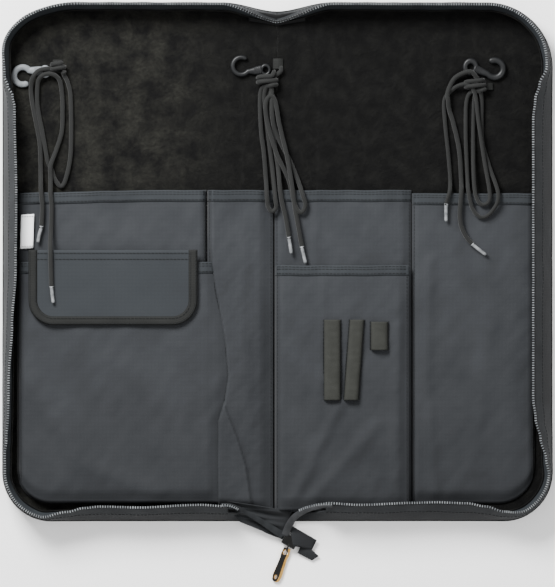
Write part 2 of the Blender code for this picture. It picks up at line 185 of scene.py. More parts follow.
def surface(name: str, columns: int, rows: int, place: Place, chart: Optional[Chart] = None,
            ring: bool = False, flip: bool = False, fill: bool = False) -> bpy.types.Object:
    """Lay a grid over a surface.

    Args:
        name: Name of the new object.
        columns: Faces in the first direction.
        rows: Faces in the second direction.
        place: Point in millimetres for a column and a row.
        chart: UV in metres for a column and a row; the plan of the surface where it is left out.
        ring: Join the first column to the last.
        flip: Turn the faces over.
        fill: Close the open ends of a ring.

    Returns:
        The new object.
    """
    bm = bmesh.new()
    bmesh.ops.create_grid(bm, x_segments=columns, y_segments=rows, size=1.0)
    seats = {v: (round((v.co.x + 1) / 2 * columns), round((v.co.y + 1) / 2 * rows)) for v in bm.verts}
    for vert, at in seats.items():
        vert.co = Vector(place(*at)) * MM
    layer = bm.loops.layers.uv.new("UVMap")
    for face in bm.faces:
        for loop in face.loops:
            loop[layer].uv = chart(*seats[loop.vert]) if chart else loop.vert.co.xy
    if flip:
        bmesh.ops.reverse_faces(bm, faces=bm.faces)
    if ring:
        bmesh.ops.remove_doubles(bm, verts=bm.verts, dist=1e-6)
        if fill:
            bmesh.ops.holes_fill(bm, edges=bm.edges, sides=columns)
        bmesh.ops.recalc_face_normals(bm, faces=bm.faces)
    return object_of(name, bm)


def thicken(obj: bpy.types.Object, thickness: float, offset: float = -1.0) -> bpy.types.Object:
    """Give an open surface a thickness in millimetres, below it unless offset says otherwise."""
    solid = obj.modifiers.new("cloth", "SOLIDIFY")
    solid.thickness = thickness * MM
    solid.offset = offset
    solid.use_quality_normals = True
    return obj


def soften(obj: bpy.types.Object, levels: int = 1) -> bpy.types.Object:
    """Add one subdivision surface."""
    sub = obj.modifiers.new("soft", "SUBSURF")
    sub.levels = levels
    sub.render_levels = levels
    return obj


def tube(name: str, route: Sequence[Vector], radius: Callable[[float], float], sides: int = 10,
         flat: float = 1.0, tall: Optional[Callable[[float], float]] = None) -> bpy.types.Object:
    """Round or flattened tube along a route, closed at both ends, with UV in metres.

    Args:
        name: Name of the new object.
        route: Centreline in millimetres.
        radius: Radius in millimetres for the share of the length, from 0 to 1.
        sides: Faces round the tube.
        flat: Height of the section as a share of its width.
        tall: Half the height of the section for the share of the length, in place of flat.

    Returns:
        The new object.
    """
    along = lengths(route)
    frames: list[tuple[Vector, Vector]] = []
    normal = Vector((0, 0, 1))
    for i, _ in enumerate(route):
        ahead = (route[min(i + 1, len(route) - 1)] - route[max(i - 1, 0)]).normalized()
        normal = (normal - ahead * normal.dot(ahead)).normalized()
        frames.append((ahead.cross(normal), normal))

    def place(i: int, j: int) -> tuple[float, float, float]:
        """Point of the grid at column i and row j."""
        a = 2 * math.pi * (i % sides) / sides
        across, up = frames[j]
        r = radius(along[j] / along[-1])
        high = tall(along[j] / along[-1]) if tall else r * flat
        return tuple(route[j] + across * math.cos(a) * r + up * math.sin(a) * high)

    def chart(i: int, j: int) -> tuple[float, float]:
        """UV of a grid point, in metres."""
        return along[j] * MM, i / sides * 2 * math.pi * radius(0.5) * MM

    return surface(name, sides, len(route) - 1, place, chart, ring=True, fill=True)


def scatter_boxes(name: str, seats: Sequence[Matrix], size: Point) -> bpy.types.Object:
    """One object of many small boxes.

    Args:
        name: Name of the new object.
        seats: Where each box stands, in millimetres.
        size: Length, width and height of a box, in millimetres.

    Returns:
        The new object.
    """
    bm = bmesh.new()
    shape = Matrix.Diagonal((*size, 1.0))
    for seat in seats:
        bmesh.ops.create_cube(bm, size=1.0, matrix=Matrix.Scale(MM, 4) @ seat @ shape)
    obj = object_of(name, bm)
    for face in obj.data.polygons:
        face.use_smooth = False
    return obj


def seat(at: Vector, ahead: Vector, up: Vector) -> Matrix:
    """Matrix that puts X along ahead and Z near up, at a point."""
    x = ahead.normalized()
    y = up.cross(x).normalized()
    turn = Matrix((x, y, x.cross(y))).transposed()
    return Matrix.Translation(at) @ turn.to_4x4()


def stitches(name: str, route: Sequence[Vector], pitch: float = 3.4, up: Vector = Vector((0, 0, 1)),
             size: Point = (2.4, 0.55, 0.5)) -> bpy.types.Object:
    """A row of thread stitches lying along a route."""
    along = lengths(route)
    seats, wanted = [], pitch / 2
    for a, b, s0, s1 in zip(route, route[1:], along, along[1:]):
        while s0 <= wanted < s1:
            seats.append(seat(a.lerp(b, (wanted - s0) / (s1 - s0)), b - a, up))
            wanted += pitch
    return scatter_boxes(name, seats, size)


# ---------------------------------------------------------------- materials


def linear(hex_colour: str) -> tuple[float, float, float, float]:
    """Turn an sRGB hex colour into linear RGBA."""
    channels = [int(hex_colour[i:i + 2], 16) / 255 for i in (1, 3, 5)]
    return (*[c / 12.92 if c <= 0.04045 else ((c + 0.055) / 1.055) ** 2.4 for c in channels], 1.0)


def add_node(tree: bpy.types.NodeTree, kind: str, settings: Optional[dict] = None,
             links: Optional[dict] = None) -> bpy.types.Node:
    """Add a node to a tree.

    Args:
        tree: The tree.
        kind: Type of the node, such as ShaderNodeBump.
        settings: Properties by name, and socket values by the input's name or number.
        links: Output sockets to link, by the input's name or number.

    Returns:
        The new node.
    """
    node = tree.nodes.new(kind)
    for key, value in (settings or {}).items():
        if isinstance(key, str) and hasattr(node, key):
            setattr(node, key, value)
        else:
            node.inputs[key].default_value = value
    for key, output in (links or {}).items():
        tree.links.new(output, node.inputs[key])
    return node


@dataclass(frozen=True)
class Finish:
    """What every finish shares: two colours it varies between and the shader's constant values."""

    name: str
    low: str
    high: str
    roughness: float = 0.85
    metallic: float = 0.0
    specular: float = 0.2
    sheen: float = 0.0
    slot: str = "nylon"

    def start(self) -> tuple[bpy.types.Material, bpy.types.NodeTree, bpy.types.Node]:
        """Make the material with its Principled shader."""
        material = bpy.data.materials.new(self.name)
        material.use_nodes = True
        tree = material.node_tree
        shader = tree.nodes["Principled BSDF"]
        shader.inputs["Roughness"].default_value = self.roughness
        shader.inputs["Metallic"].default_value = self.metallic
        shader.inputs["Specular IOR Level"].default_value = self.specular
        shader.inputs["Sheen Weight"].default_value = self.sheen
        shader.inputs["Sheen Roughness"].default_value = 0.5
        return material, tree, shader

    def mottle(self, tree: bpy.types.NodeTree, coordinates: bpy.types.NodeSocket, size: float,
               spread: tuple[float, float] = (0.3, 0.7), detail: float = 4.0) -> bpy.types.Node:
        """Colour that drifts between low and high in patches size millimetres across."""
        cloud = add_node(tree, "ShaderNodeTexNoise", {"Scale": 1 / (size * MM), "Detail": detail},
                         {"Vector": coordinates})
        ramp = add_node(tree, "ShaderNodeValToRGB", links={"Fac": cloud.outputs["Fac"]})
        ramp.color_ramp.elements[0].position = spread[0]
        ramp.color_ramp.elements[0].color = linear(self.low)
        ramp.color_ramp.elements[1].position = spread[1]
        ramp.color_ramp.elements[1].color = linear(self.high)
        return ramp

    def make(self) -> bpy.types.Material:
        """Smooth moulded finish: a slow drift of colour and a fine grain in the surface."""
        material, tree, shader = self.start()
        place = add_node(tree, "ShaderNodeTexCoord")
        colour = self.mottle(tree, place.outputs["Object"], 6.0)
        grain = add_node(tree, "ShaderNodeTexNoise", {"Scale": 1 / (0.5 * MM)},
                         {"Vector": place.outputs["Object"]})
        relief = add_node(tree, "ShaderNodeBump", {"Strength": 0.12, "Distance": 0.1 * MM},
                          {"Height": grain.outputs["Fac"]})
        tree.links.new(colour.outputs["Color"], shader.inputs["Base Color"])
        tree.links.new(relief.outputs["Normal"], shader.inputs["Normal"])
        return material


@dataclass(frozen=True)
class Woven(Finish):
    """Plain weave: threads cross each other, so light breaks into a fine grid.

    The thread spacing is drawn about twice as coarse as the usual 0.6 mm so that it shows. The colour is
    multiplied by up to `low_shade` towards UV Y -0.22 m. That is painted shade, matched to how much less
    the lower cloth is lit. That is matched by eye: whether the lower cloth is soiled or only less lit
    isn't known.
    """

    thread: float = 1.25
    patch: float = 38.0
    relief: float = 0.35
    low_shade: float = 1.0

    def make(self) -> bpy.types.Material:
        """Crossed bands of thread over patches of slightly faded colour."""
        material, tree, shader = self.start()
        place = add_node(tree, "ShaderNodeTexCoord")
        source = place.outputs["UV"]
        colour = self.mottle(tree, source, self.patch, (0.32, 0.68), 6.0)
        bands = []
        for direction in ("X", "Y"):
            bands.append(add_node(
                tree, "ShaderNodeTexWave",
                {"wave_type": "BANDS", "bands_direction": direction, "Distortion": 0.6,
                 "Scale": 2 * math.pi / (20 * self.thread * MM), "Detail": 1.0, "Detail Scale": 2.0},
                {"Vector": source},
            ))
        weave = add_node(tree, "ShaderNodeMath", {"operation": "MULTIPLY"},
                         {0: bands[0].outputs["Fac"], 1: bands[1].outputs["Fac"]})
        shade = add_node(tree, "ShaderNodeMath", {"operation": "MULTIPLY_ADD", 1: 0.34, 2: 0.83},
                         {0: weave.outputs[0]})
        tint = add_node(tree, "ShaderNodeMix", {"data_type": "RGBA", "blend_type": "MULTIPLY", 0: 1.0},
                        {6: colour.outputs["Color"], 7: shade.outputs[0]})
        spot = add_node(tree, "ShaderNodeSeparateXYZ", links={"Vector": source})
        # Painted shade: the colour darkens by up to low_shade towards the bottom of the pockets
        shade_low = add_node(tree, "ShaderNodeMapRange",
                             {"From Min": -0.22, "From Max": 0.02, "To Min": self.low_shade},
                             {"Value": spot.outputs["Y"]})
        painted_shade = add_node(tree, "ShaderNodeMix", {"data_type": "RGBA", "blend_type": "MULTIPLY", 0: 1.0},
                          {6: tint.outputs[2], 7: shade_low.outputs["Result"]})
        bump_node = add_node(tree, "ShaderNodeBump", {"Strength": self.relief, "Distance": 0.25 * MM},
                             {"Height": weave.outputs[0]})
        tree.links.new(painted_shade.outputs[2], shader.inputs["Base Color"])
        tree.links.new(bump_node.outputs["Normal"], shader.inputs["Normal"])
        return material


@dataclass(frozen=True)
class Fleece(Finish):
    """Short plush: a brushed pile whose patches lean different ways and look lighter or darker.

    On its left its two colours are others, paler, and they fade out between two places in X, in metres. That
    is matched; what makes that side paler isn't known.
    """

    patch: float = 13.0
    left_colours: tuple[str, str] = ("#0b0b0a", "#171613")
    fade: tuple[float, float] = (-0.12, -0.015)

    def make(self) -> bpy.types.Material:
        """Patchy colour with a fine hairy relief."""
        material, tree, shader = self.start()
        place = add_node(tree, "ShaderNodeTexCoord")
        plan = place.outputs["UV"]
        drift = add_node(tree, "ShaderNodeTexNoise", {"Scale": 1 / (30 * MM), "Detail": 2.0},
                         {"Vector": plan})
        warped = add_node(tree, "ShaderNodeVectorMath", {"operation": "MULTIPLY_ADD", 1: (0.012, 0.016, 0)},
                          {0: drift.outputs["Color"], 2: plan})
        patches = self.mottle(tree, warped.outputs[0], self.patch, (0.4, 0.68), 12.0)
        old = add_node(tree, "ShaderNodeValToRGB")
        cloud = add_node(tree, "ShaderNodeTexNoise", {"Scale": 1 / (1.5 * self.patch * MM), "Detail": 12.0,
                                                      "Roughness": 0.62}, {"Vector": warped.outputs[0]})
        tree.links.new(cloud.outputs["Fac"], old.inputs["Fac"])
        for end, (spot, shade) in enumerate(zip((0.38, 0.64), self.left_colours)):
            old.color_ramp.elements[end].position = spot
            old.color_ramp.elements[end].color = linear(shade)
        split = add_node(tree, "ShaderNodeSeparateXYZ", links={"Vector": plan})
        mix_left = add_node(tree, "ShaderNodeMapRange",
                            {"interpolation_type": "SMOOTHSTEP", "From Min": self.fade[0],
                             "From Max": self.fade[1]}, {"Value": split.outputs["X"]})
        colour = add_node(tree, "ShaderNodeMix", {"data_type": "RGBA"},
                          {0: mix_left.outputs["Result"], 6: old.outputs["Color"],
                           7: patches.outputs["Color"]})
        fuzz = add_node(tree, "ShaderNodeTexNoise",
                        {"Scale": 1 / (3.2 * MM), "Detail": 6.0, "Roughness": 0.75},
                        {"Vector": warped.outputs[0]})
        tips = add_node(tree, "ShaderNodeMapRange", {"From Min": 0.3, "From Max": 0.7, "To Min": 0.5,
                                                     "To Max": 1.6}, {"Value": fuzz.outputs["Fac"]})
        shaded = add_node(tree, "ShaderNodeMix", {"data_type": "RGBA", "blend_type": "MULTIPLY", 0: 1.0},
                          {6: colour.outputs[2], 7: tips.outputs["Result"]})
        hair = add_node(tree, "ShaderNodeTexNoise",
                        {"Scale": 1 / (0.9 * MM), "Detail": 5.0, "Roughness": 0.7},
                        {"Vector": warped.outputs[0]})
        tuft = add_node(tree, "ShaderNodeTexNoise", {"Scale": 1 / (4.0 * MM), "Detail": 4.0},
                        {"Vector": warped.outputs[0]})
        heap = add_node(tree, "ShaderNodeMath", {"operation": "MULTIPLY_ADD", 1: 0.6},
                        {0: hair.outputs["Fac"], 2: tuft.outputs["Fac"]})
        relief = add_node(tree, "ShaderNodeBump", {"Strength": 1.0, "Distance": 1.6 * MM},
                          {"Height": heap.outputs[0]})
        tree.links.new(shaded.outputs[2], shader.inputs["Base Color"])
        tree.links.new(relief.outputs["Normal"], shader.inputs["Normal"])
        return material


@dataclass(frozen=True)
class Braid(Finish):
    """Flat bootlace braid: strands slant both ways round the cord, 1.5 mm to a repeat."""

    pitch: float = 1.5

    def make(self) -> bpy.types.Material:
        """Two slanted sets of strands on the cord's own UV map."""
        material, tree, shader = self.start()
        place = add_node(tree, "ShaderNodeTexCoord")
        strands = []
        for slant in (0.75, -0.75):
            turned = add_node(tree, "ShaderNodeMapping", {"Rotation": (0, 0, slant)},
                              {"Vector": place.outputs["UV"]})
            strands.append(add_node(
                tree, "ShaderNodeTexWave",
                {"wave_type": "BANDS", "bands_direction": "X", "Scale": 2 * math.pi / (20 * self.pitch * MM),
                 "Distortion": 0.3}, {"Vector": turned.outputs["Vector"]},
            ))
        height = add_node(tree, "ShaderNodeMath", {"operation": "MAXIMUM"},
                          {0: strands[0].outputs["Fac"], 1: strands[1].outputs["Fac"]})
        ramp = add_node(tree, "ShaderNodeValToRGB", links={"Fac": height.outputs[0]})
        ramp.color_ramp.elements[0].position = 0.35
        ramp.color_ramp.elements[0].color = linear(self.low)
        ramp.color_ramp.elements[1].position = 0.95
        ramp.color_ramp.elements[1].color = linear(self.high)
        relief = add_node(tree, "ShaderNodeBump", {"Strength": 0.4, "Distance": 0.2 * MM},
                          {"Height": height.outputs[0]})
        tree.links.new(ramp.outputs["Color"], shader.inputs["Base Color"])
        tree.links.new(relief.outputs["Normal"], shader.inputs["Normal"])
        return material


# Charcoal polyester, plain woven, with painted shade that darkens it towards the bottom of the pockets
NYLON = Woven("woven_polyester_cloth", "#242629", "#2a2c2f", roughness=0.82, sheen=0.03, low_shade=0.72)
# The hems and the flap, doubled and so a little tighter
NYLON_HEM = Woven("woven_polyester_hem", "#212427", "#272a2d", roughness=0.82, sheen=0.03)
NYLON_FLAP = Woven("woven_polyester_flap", "#212427", "#25282b", roughness=0.82, sheen=0.03, patch=60.0)
# The same cloth on the outside and the wall
SHELL = Woven("woven_polyester_shell", "#18191b", "#1d1f21", roughness=0.85, sheen=0.03, thread=1.5)
# Dark brown-black plush, drawn paler on its left
PLUSH = Fleece("brushed_plush_lining", "#040404", "#0c0c0b", roughness=1.0, specular=0.1, sheen=0.05,
               slot="fleece", left_colours=("#060606", "#1a1a17"))
# Ribbed binding and zip tape, woven narrow
TAPE = Woven("woven_zip_tape", "#1a1c1e", "#232527", roughness=0.8, thread=1.0, patch=20.0,
             slot="zip_tape")
DARK_TAPE = Woven("woven_zip_tape_inside", "#1b1e21", "#23272a", roughness=0.85, thread=1.0, patch=20.0,
                  slot="zip_tape")
BLACK_TAPE = Woven("woven_coil_core", "#0b0c0d", "#141415", roughness=0.85, thread=1.0, patch=20.0,
                   slot="zip_tape")
SATIN_TAPE = Woven("satin_zip_tape", "#1e1f20", "#303133", roughness=0.5, thread=0.8, patch=12.0,
                   slot="zip_tape", relief=0.15)
BINDING = Woven("grosgrain_binding", "#131413", "#191a19", roughness=0.8, thread=1.6,
                patch=20.0, slot="webbing", relief=0.6)
# Knitted elastic, a little olive
ELASTIC = Woven("knitted_elastic", "#252623", "#2b2c29", roughness=0.9, thread=1.1,
                patch=14.0, slot="elastic", relief=0.6)
# Nylon coil of the zip: the dark coil is drawn pale, a painted highlight of the light on its crowns
COIL = Finish("moulded_nylon_coil", "#46494c", "#7b7e80", roughness=0.45, slot="zip_teeth")
# Braided polyester bootlace
CORD = Braid("braided_bootlace", "#0c0d0d", "#161716", roughness=0.8, sheen=0.1, slot="cord")
# Crimped acetate sleeve
AGLET = Finish("crimped_acetate", "#4c4e50", "#7c7e80", roughness=0.35, slot="aglet")
# Moulded acetal hooks. The left one is the same dark plastic, drawn pale as painted glare
ACETAL = Finish("moulded_acetal", "#101112", "#18191a", roughness=0.4, slot="hook_plastic")
ACETAL_GLARE = Finish("moulded_acetal_painted_glare", "#5a5d5f", "#717477", roughness=0.45, slot="hook_plastic")
# White satin label, blank
SATIN = Woven("satin_label", "#e6e8ea", "#f4f5f6", roughness=0.6, thread=0.9, slot="label", relief=0.2)
# Zinc casting with black enamel, and bare brass where it is worn
ENAMEL = Finish("black_enamel_on_zinc", "#060606", "#0d0d0c", roughness=0.3, slot="zip_slider")
BRASS = Finish("worn_brass", "#b98b45", "#d7ab63", roughness=0.3, metallic=1.0, slot="zip_puller")
ENAMEL_PULL = Finish("black_enamel_on_brass", "#090909", "#131211", roughness=0.35, slot="zip_puller")
# Sewing thread
THREAD = Finish("polyester_thread", "#0b0d0d", "#121416", roughness=0.7)
PALE_THREAD = Finish("pale_polyester_thread", "#484c4e", "#5b5e60", roughness=0.7)
# Sheet foam, and the fastener's hooks and loops
FOAM = Finish("sheet_foam", "#282828", "#343434", roughness=0.95, slot="foam")
FASTENER = Fleece("hook_and_loop", "#0b0b0b", "#171717", roughness=1.0, patch=4.0, slot="hook_and_loop")


class Wardrobe:
    """Makes each finish once and puts it on pieces."""

    def __init__(self) -> None:
        """Start with nothing made."""
        self.made: dict[str, bpy.types.Material] = {}

    def dress(self, obj: bpy.types.Object, finish: Finish) -> bpy.types.Object:
        """Put a finish on a piece."""
        if finish.name not in self.made:
            self.made[finish.name] = finish.make()
        obj.data.materials.clear()
        obj.data.materials.append(self.made[finish.name])
        return obj


WARDROBE = Wardrobe()


def across_fold(obj: bpy.types.Object, side: Side, reach: float) -> bpy.types.Object:
    """Bake a piece's place into its mesh and log the fold that it crosses."""
    side.body
    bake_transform(obj)
    LOG.info("%s bends at the %s fold", obj.name, side.word)
    return obj


def riding(obj: bpy.types.Object, body: str) -> bpy.types.Object:
    """Let a piece move with a body, and log it."""
    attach(obj, body)
    LOG.info("%s rides on %s", obj.name, body)
    return obj


def baked(obj: bpy.types.Object) -> bpy.types.Object:
    """Make the modifiers part of the mesh."""
    graph = bpy.context.evaluated_depsgraph_get()
    mesh = bpy.data.meshes.new_from_object(obj.evaluated_get(graph), depsgraph=graph)
    obj.modifiers.clear()
    obj.data = mesh
    return obj


def near(route: Sequence[tuple[float, float]], x: float, y: float) -> tuple[float, float]:
    """Distance from a point to a drawn line and the side it is on, 1 for the left of the line."""
    best, hand = 1e9, 1.0
    for (ax, ay), (bx, by) in zip(route, route[1:]):
        dx, dy = bx - ax, by - ay
        t = min(1.0, max(0.0, ((x - ax) * dx + (y - ay) * dy) / (dx * dx + dy * dy)))
        away = math.hypot(x - ax - t * dx, y - ay - t * dy)
        if away < best:
            best, hand = away, math.copysign(1.0, dx * (y - ay) - dy * (x - ax))
    return best, hand


@dataclass(frozen=True)
class Crease:
    """A fold drawn in cloth: a soft ridge, or a step that drops to the left or right of the line."""

    line: tuple[tuple[float, float], ...]
    height: float
    width: float
    step: float = 0.0

    def lift(self, x: float, y: float) -> float:
        """Height that the fold adds at a point."""
        away, hand = near(self.line, x, y)
        rise = self.height * bump(away, self.width)
        if self.step:
            signed = away * hand * math.copysign(1.0, self.step)
            rise += abs(self.step) * ease((signed + 0.8) / 1.6) * bump(max(signed, 0.0), self.width * 5)
        return rise


# ---------------------------------------------------------------- the edge of the bag


@dataclass(frozen=True)
class Rim:
    """Plan of a cover's edge.

    A place on it is a distance in millimetres along the edge. 0 is where the straight top of the cover
    begins; below 0 the edge runs over the spine to the bag's middle line, and past the end it does the
    same at the bottom.
    """

    side: Side
    top_corner: tuple[float, float]
    lean: tuple[tuple[float, float], ...]
    half_height: float = 238.0
    corner: float = 45.0
    start: float = 49.0
    top_dip: float = 8.0
    wall: float = 34.0

    @property
    def edge(self) -> float:
        """Distance of the flank from the bag's middle line."""
        box = Box.of(f"{self.side.word}_outer_panel")
        return max(abs(box.x0), abs(box.x1))

    @property
    def parts(self) -> tuple[float, float, float, float, float]:
        """Lengths of the straight top, top corner, flank, bottom corner and straight bottom."""
        across, down = self.top_corner
        return (self.edge - across - self.start, math.pi / 2 * math.sqrt((across**2 + down**2) / 2),
                2 * self.half_height - down - self.corner, math.pi / 2 * self.corner,
                self.edge - self.corner - self.start)

    @property
    def end(self) -> float:
        """Place where the straight bottom ends."""
        return sum(self.parts)

    def plan(self, at: float) -> tuple[Vector, Vector]:
        """Point of the outline at a place, and the direction into the bag there."""
        s, h, r = self.side.value, self.half_height, self.corner
        wide, tall = self.top_corner
        top, turn, flank, low_turn, _ = self.parts
        if at <= top:
            dip = self.top_dip * ease(-at / self.start) if at < 0 else 0.0
            return Vector((s * (self.start + at), h - dip, 0)), Vector((0, -1, 0))
        at -= top
        if at <= turn:
            a = at / turn * math.pi / 2
            here = Vector((s * (self.edge - wide + wide * math.sin(a)), h - tall + tall * math.cos(a), 0))
            return here, -Vector((s * math.sin(a) / wide, math.cos(a) / tall, 0)).normalized()
        at -= turn
        if at <= flank:
            return Vector((s * self.edge, h - tall - at, 0)), Vector((-s, 0, 0))
        at -= flank
        if at <= low_turn:
            a = at / r
            out = Vector((s * math.cos(a), -math.sin(a), 0))
            return Vector((s * (self.edge - r), r - h, 0)) + out * r, -out
        at -= low_turn
        return Vector((s * (self.edge - r - at), -h, 0)), Vector((0, 1, 0))

    def tall(self, at: float) -> float:
        """Height of the teeth at a place; the wall sinks over the spine."""
        if at < 0:
            return blend_numbers(self.wall, 13.5, ease(-at / self.start))
        return blend_numbers(self.wall, 8.0, ease((at - self.end + 6) / (self.start - 14)))

    def inset(self, at: float) -> float:
        """How far inside the outline the teeth are at a place."""
        if at < 0:
            return blend_numbers(self.lean[0][1], 10.0, -at / self.start)
        if at > self.end:
            return blend_numbers(self.lean[-1][1], 6.0, ease((at - self.end) / self.start))
        return keyed(self.lean, at)

    def point(self, at: float, share: float, extra: float = 0.0) -> Vector:
        """Point of the wall at a place and a share of its height, extra millimetres further in."""
        here, inward = self.plan(at)
        waver = 0.7 * math.sin(math.pi * min(1.0, share)) * ripple(at, share * 40, 21.0, self.side.value)
        sway = self.inset(at) * (0.55 * share + 0.45 * share * share) + waver + extra
        return here + inward * sway + Vector((0, 0, share * self.tall(at)))

    def band(self, name: str, start: float, end: float, shares: Sequence[float], extras: Sequence[float],
             thickness: float, spacing: float = 3.0) -> bpy.types.Object:
        """Strip of cloth along the wall.

        Args:
            name: Name of the new object.
            start: Place where it starts.
            end: Place where it ends.
            shares: Shares of the wall's height for each row of points.
            extras: Distance inside the wall for each row of points.
            thickness: Thickness of the cloth.
            spacing: Distance between columns of points.

        Returns:
            The strip, with its thickness baked.
        """
        columns = round((end - start) / spacing)
        flip = self.side is Side.LEFT

        def place(i: int, j: int) -> tuple[float, float, float]:
            """Point of the grid at column i and row j."""
            return tuple(self.point(start + (end - start) * i / columns, shares[j], extras[j]))

        def chart(i: int, j: int) -> tuple[float, float]:
            """UV of a grid point, in metres."""
            return (end - start) * i / columns * MM, shares[j] * self.wall * MM

        strip = surface(name, columns, len(shares) - 1, place, chart, flip=flip)
        return baked(thicken(strip, thickness, 0.0))


LEFT_RIM = Rim(Side.LEFT, (70, 45), (
    (0, 1.5), (225, 1.0), (249, 2.5), (257, 5.5), (266, 10.0), (277, 12.0), (361, 13.6), (426, 13.0),
    (478, 9.5),
    (527, 6.4), (555, 6.0), (581, 4.2), (594, 2.6), (611, 2.8), (670, 3.4), (697, 9.2), (712, 12.9),
    (726, 14.3), (763, 13.5), (818, 16.0), (841, 14.7)))
RIGHT_RIM = Rim(Side.RIGHT, (60, 60), (
    (0, 1.5), (144, 2.0), (200, 3.5), (238, 6.0), (254, 13.0), (267, 17.0), (286, 19.0), (541, 19.0),
    (560, 16.7), (578, 12.0), (597, 6.6), (611, 4.0), (655, 5.0), (680, 9.5), (697, 14.5), (713, 17.5),
    (743, 18.5), (761, 18.0), (812, 16.0), (841, 17.6)))
RIMS = {Side.LEFT: LEFT_RIM, Side.RIGHT: RIGHT_RIM}


@dataclass(frozen=True)
class Wall:
    """A cover's wall: the gusset, the zip's tape and coil on top, and what lines it inside."""

    side: Side
    reach: float = 25.0
    gusset_top: float = 0.66
    tape_top: float = 0.93
    tooth: Point = (0.85, 2.1, 1.4)
    pitch: float = 2.3

    def bend(self, obj: bpy.types.Object, finish: Finish, *nodes: str) -> bpy.types.Object:
        """Dress a piece of the wall, hide the CAD parts that it stands for and bake its place."""
        WARDROBE.dress(obj, finish)
        if nodes:
            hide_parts(*nodes)
        return across_fold(obj, self.side, self.reach)

    def build(self) -> None:
        """Make every piece of the wall."""
        rim, word = RIMS[self.side], self.side.word
        start, end = -rim.start, rim.end + rim.start
        rows = [0.03, 0.12, 0.24, 0.36, 0.48, 0.58, self.gusset_top]
        self.bend(rim.band(f"{word}_wall_cloth", start, end, rows, [0.3] * 7, 1.0), SHELL, f"{word}_gusset")
        last = rim.end + 4
        rows = [0.6, 0.66, 0.73, 0.8, 0.87, self.tape_top]
        tape = rim.band(f"{word}_zip_tape_cloth", start, last, rows, [-0.5, -0.5, -0.3, 0, 0.2, 0.3], 0.7)
        self.bend(tape, TAPE, f"{word}_zip_tape")
        self.teeth(rim, start, last)
        self.seams(rim, start, last)
        self.inside(rim, start, end)

    def teeth(self, rim: Rim, start: float, end: float) -> None:
        """Coil of the zip, one small block to a turn, on a dark cord sewn along it."""
        seats = []
        at = start + self.pitch / 2
        while at < end:
            here, ahead = rim.point(at, 0.97), rim.point(at + 0.5, 0.97)
            tilt = Vector((0, 0, 1)) + rim.plan(at)[1] * 0.1
            seats.append(seat(here, ahead - here, tilt))
            at += self.pitch
        coil = scatter_boxes(f"{self.side.word}_zip_coil", seats, self.tooth)
        self.bend(coil, COIL, f"{self.side.word}_zip_teeth")
        core = [rim.point(start + (end - start) * i / 420, 0.955) for i in range(421)]
        self.bend(tube(f"{self.side.word}_coil_cord", core, lambda t: 1.2, 8), BLACK_TAPE)

    def seams(self, rim: Rim, start: float, end: float) -> None:
        """Piping where the gusset meets the outer cloth, and thread along the tape's seam."""
        low = [rim.point(-rim.start + (rim.end + 2 * rim.start) * i / 420, 0.05, 0.2) for i in range(421)]
        self.bend(tube(f"{self.side.word}_edge_piping", low, lambda t: 1.1, 8), BINDING)
        row = [rim.point(start + (end - start) * i / 500, 0.63, -1.0) for i in range(501)]
        self.bend(stitches(f"{self.side.word}_tape_stitches", row, size=(2.4, 0.5, 0.5)), THREAD)

    def inside(self, rim: Rim, start: float, end: float) -> None:
        """Tape turned in under the coil, and the plush that lines the wall down to the floor."""
        word = self.side.word
        columns = round((end - start) / 3)
        flip = self.side is Side.LEFT

        def flare(at: float) -> float:
            """How far the tape stands in from the wall at a place along the edge."""
            open_part = blend_numbers(5.2, 2.2, ease((rim.inset(at) - 4) / 8))
            return min(open_part, 5.2)

        def tape_point(i: int, j: int) -> tuple[float, float, float]:
            """Point of the turned-in tape."""
            at = start + (end - start) * i / columns
            t = j / 4
            return tuple(rim.point(at, 0.92 - 0.3 * t, 1.0 + flare(at) * t))

        def pile_point(i: int, j: int) -> tuple[float, float, float]:
            """Point of the plush that lines the wall."""
            at = start + (end - start) * i / columns
            t = j / 7
            low = 6.0 / rim.tall(at)
            foot = 3.0 + 1.2 * ripple(at, 0, 12.0)
            share = blend_numbers(0.7, low, t)
            rise = rim.point(at, share)
            target = rim.point(at, low, foot + 2)
            inner = rim.point(at, share, 1.4 + flare(at) * (1 - 0.3 * t))
            drop = rise.lerp(target, t)
            mixed = inner.lerp(drop, ease(t))
            return tuple(mixed)

        def chart(i: int, j: int) -> tuple[float, float]:
            """UV of a grid point, in metres."""
            return (end - start) * i / columns * MM, j * 2.2 * MM

        inner_tape = surface(f"{word}_inner_tape", columns, 4, tape_point, chart, flip=flip)
        self.bend(baked(thicken(inner_tape, 0.5, 0.0)), DARK_TAPE, f"{word}_inner_binding")
        pile = surface(f"{word}_wall_lining", columns, 7, pile_point, chart, flip=flip)
        self.bend(baked(thicken(pile, 1.0, 0.0)), PLUSH)


# ---------------------------------------------------------------- covers and spine


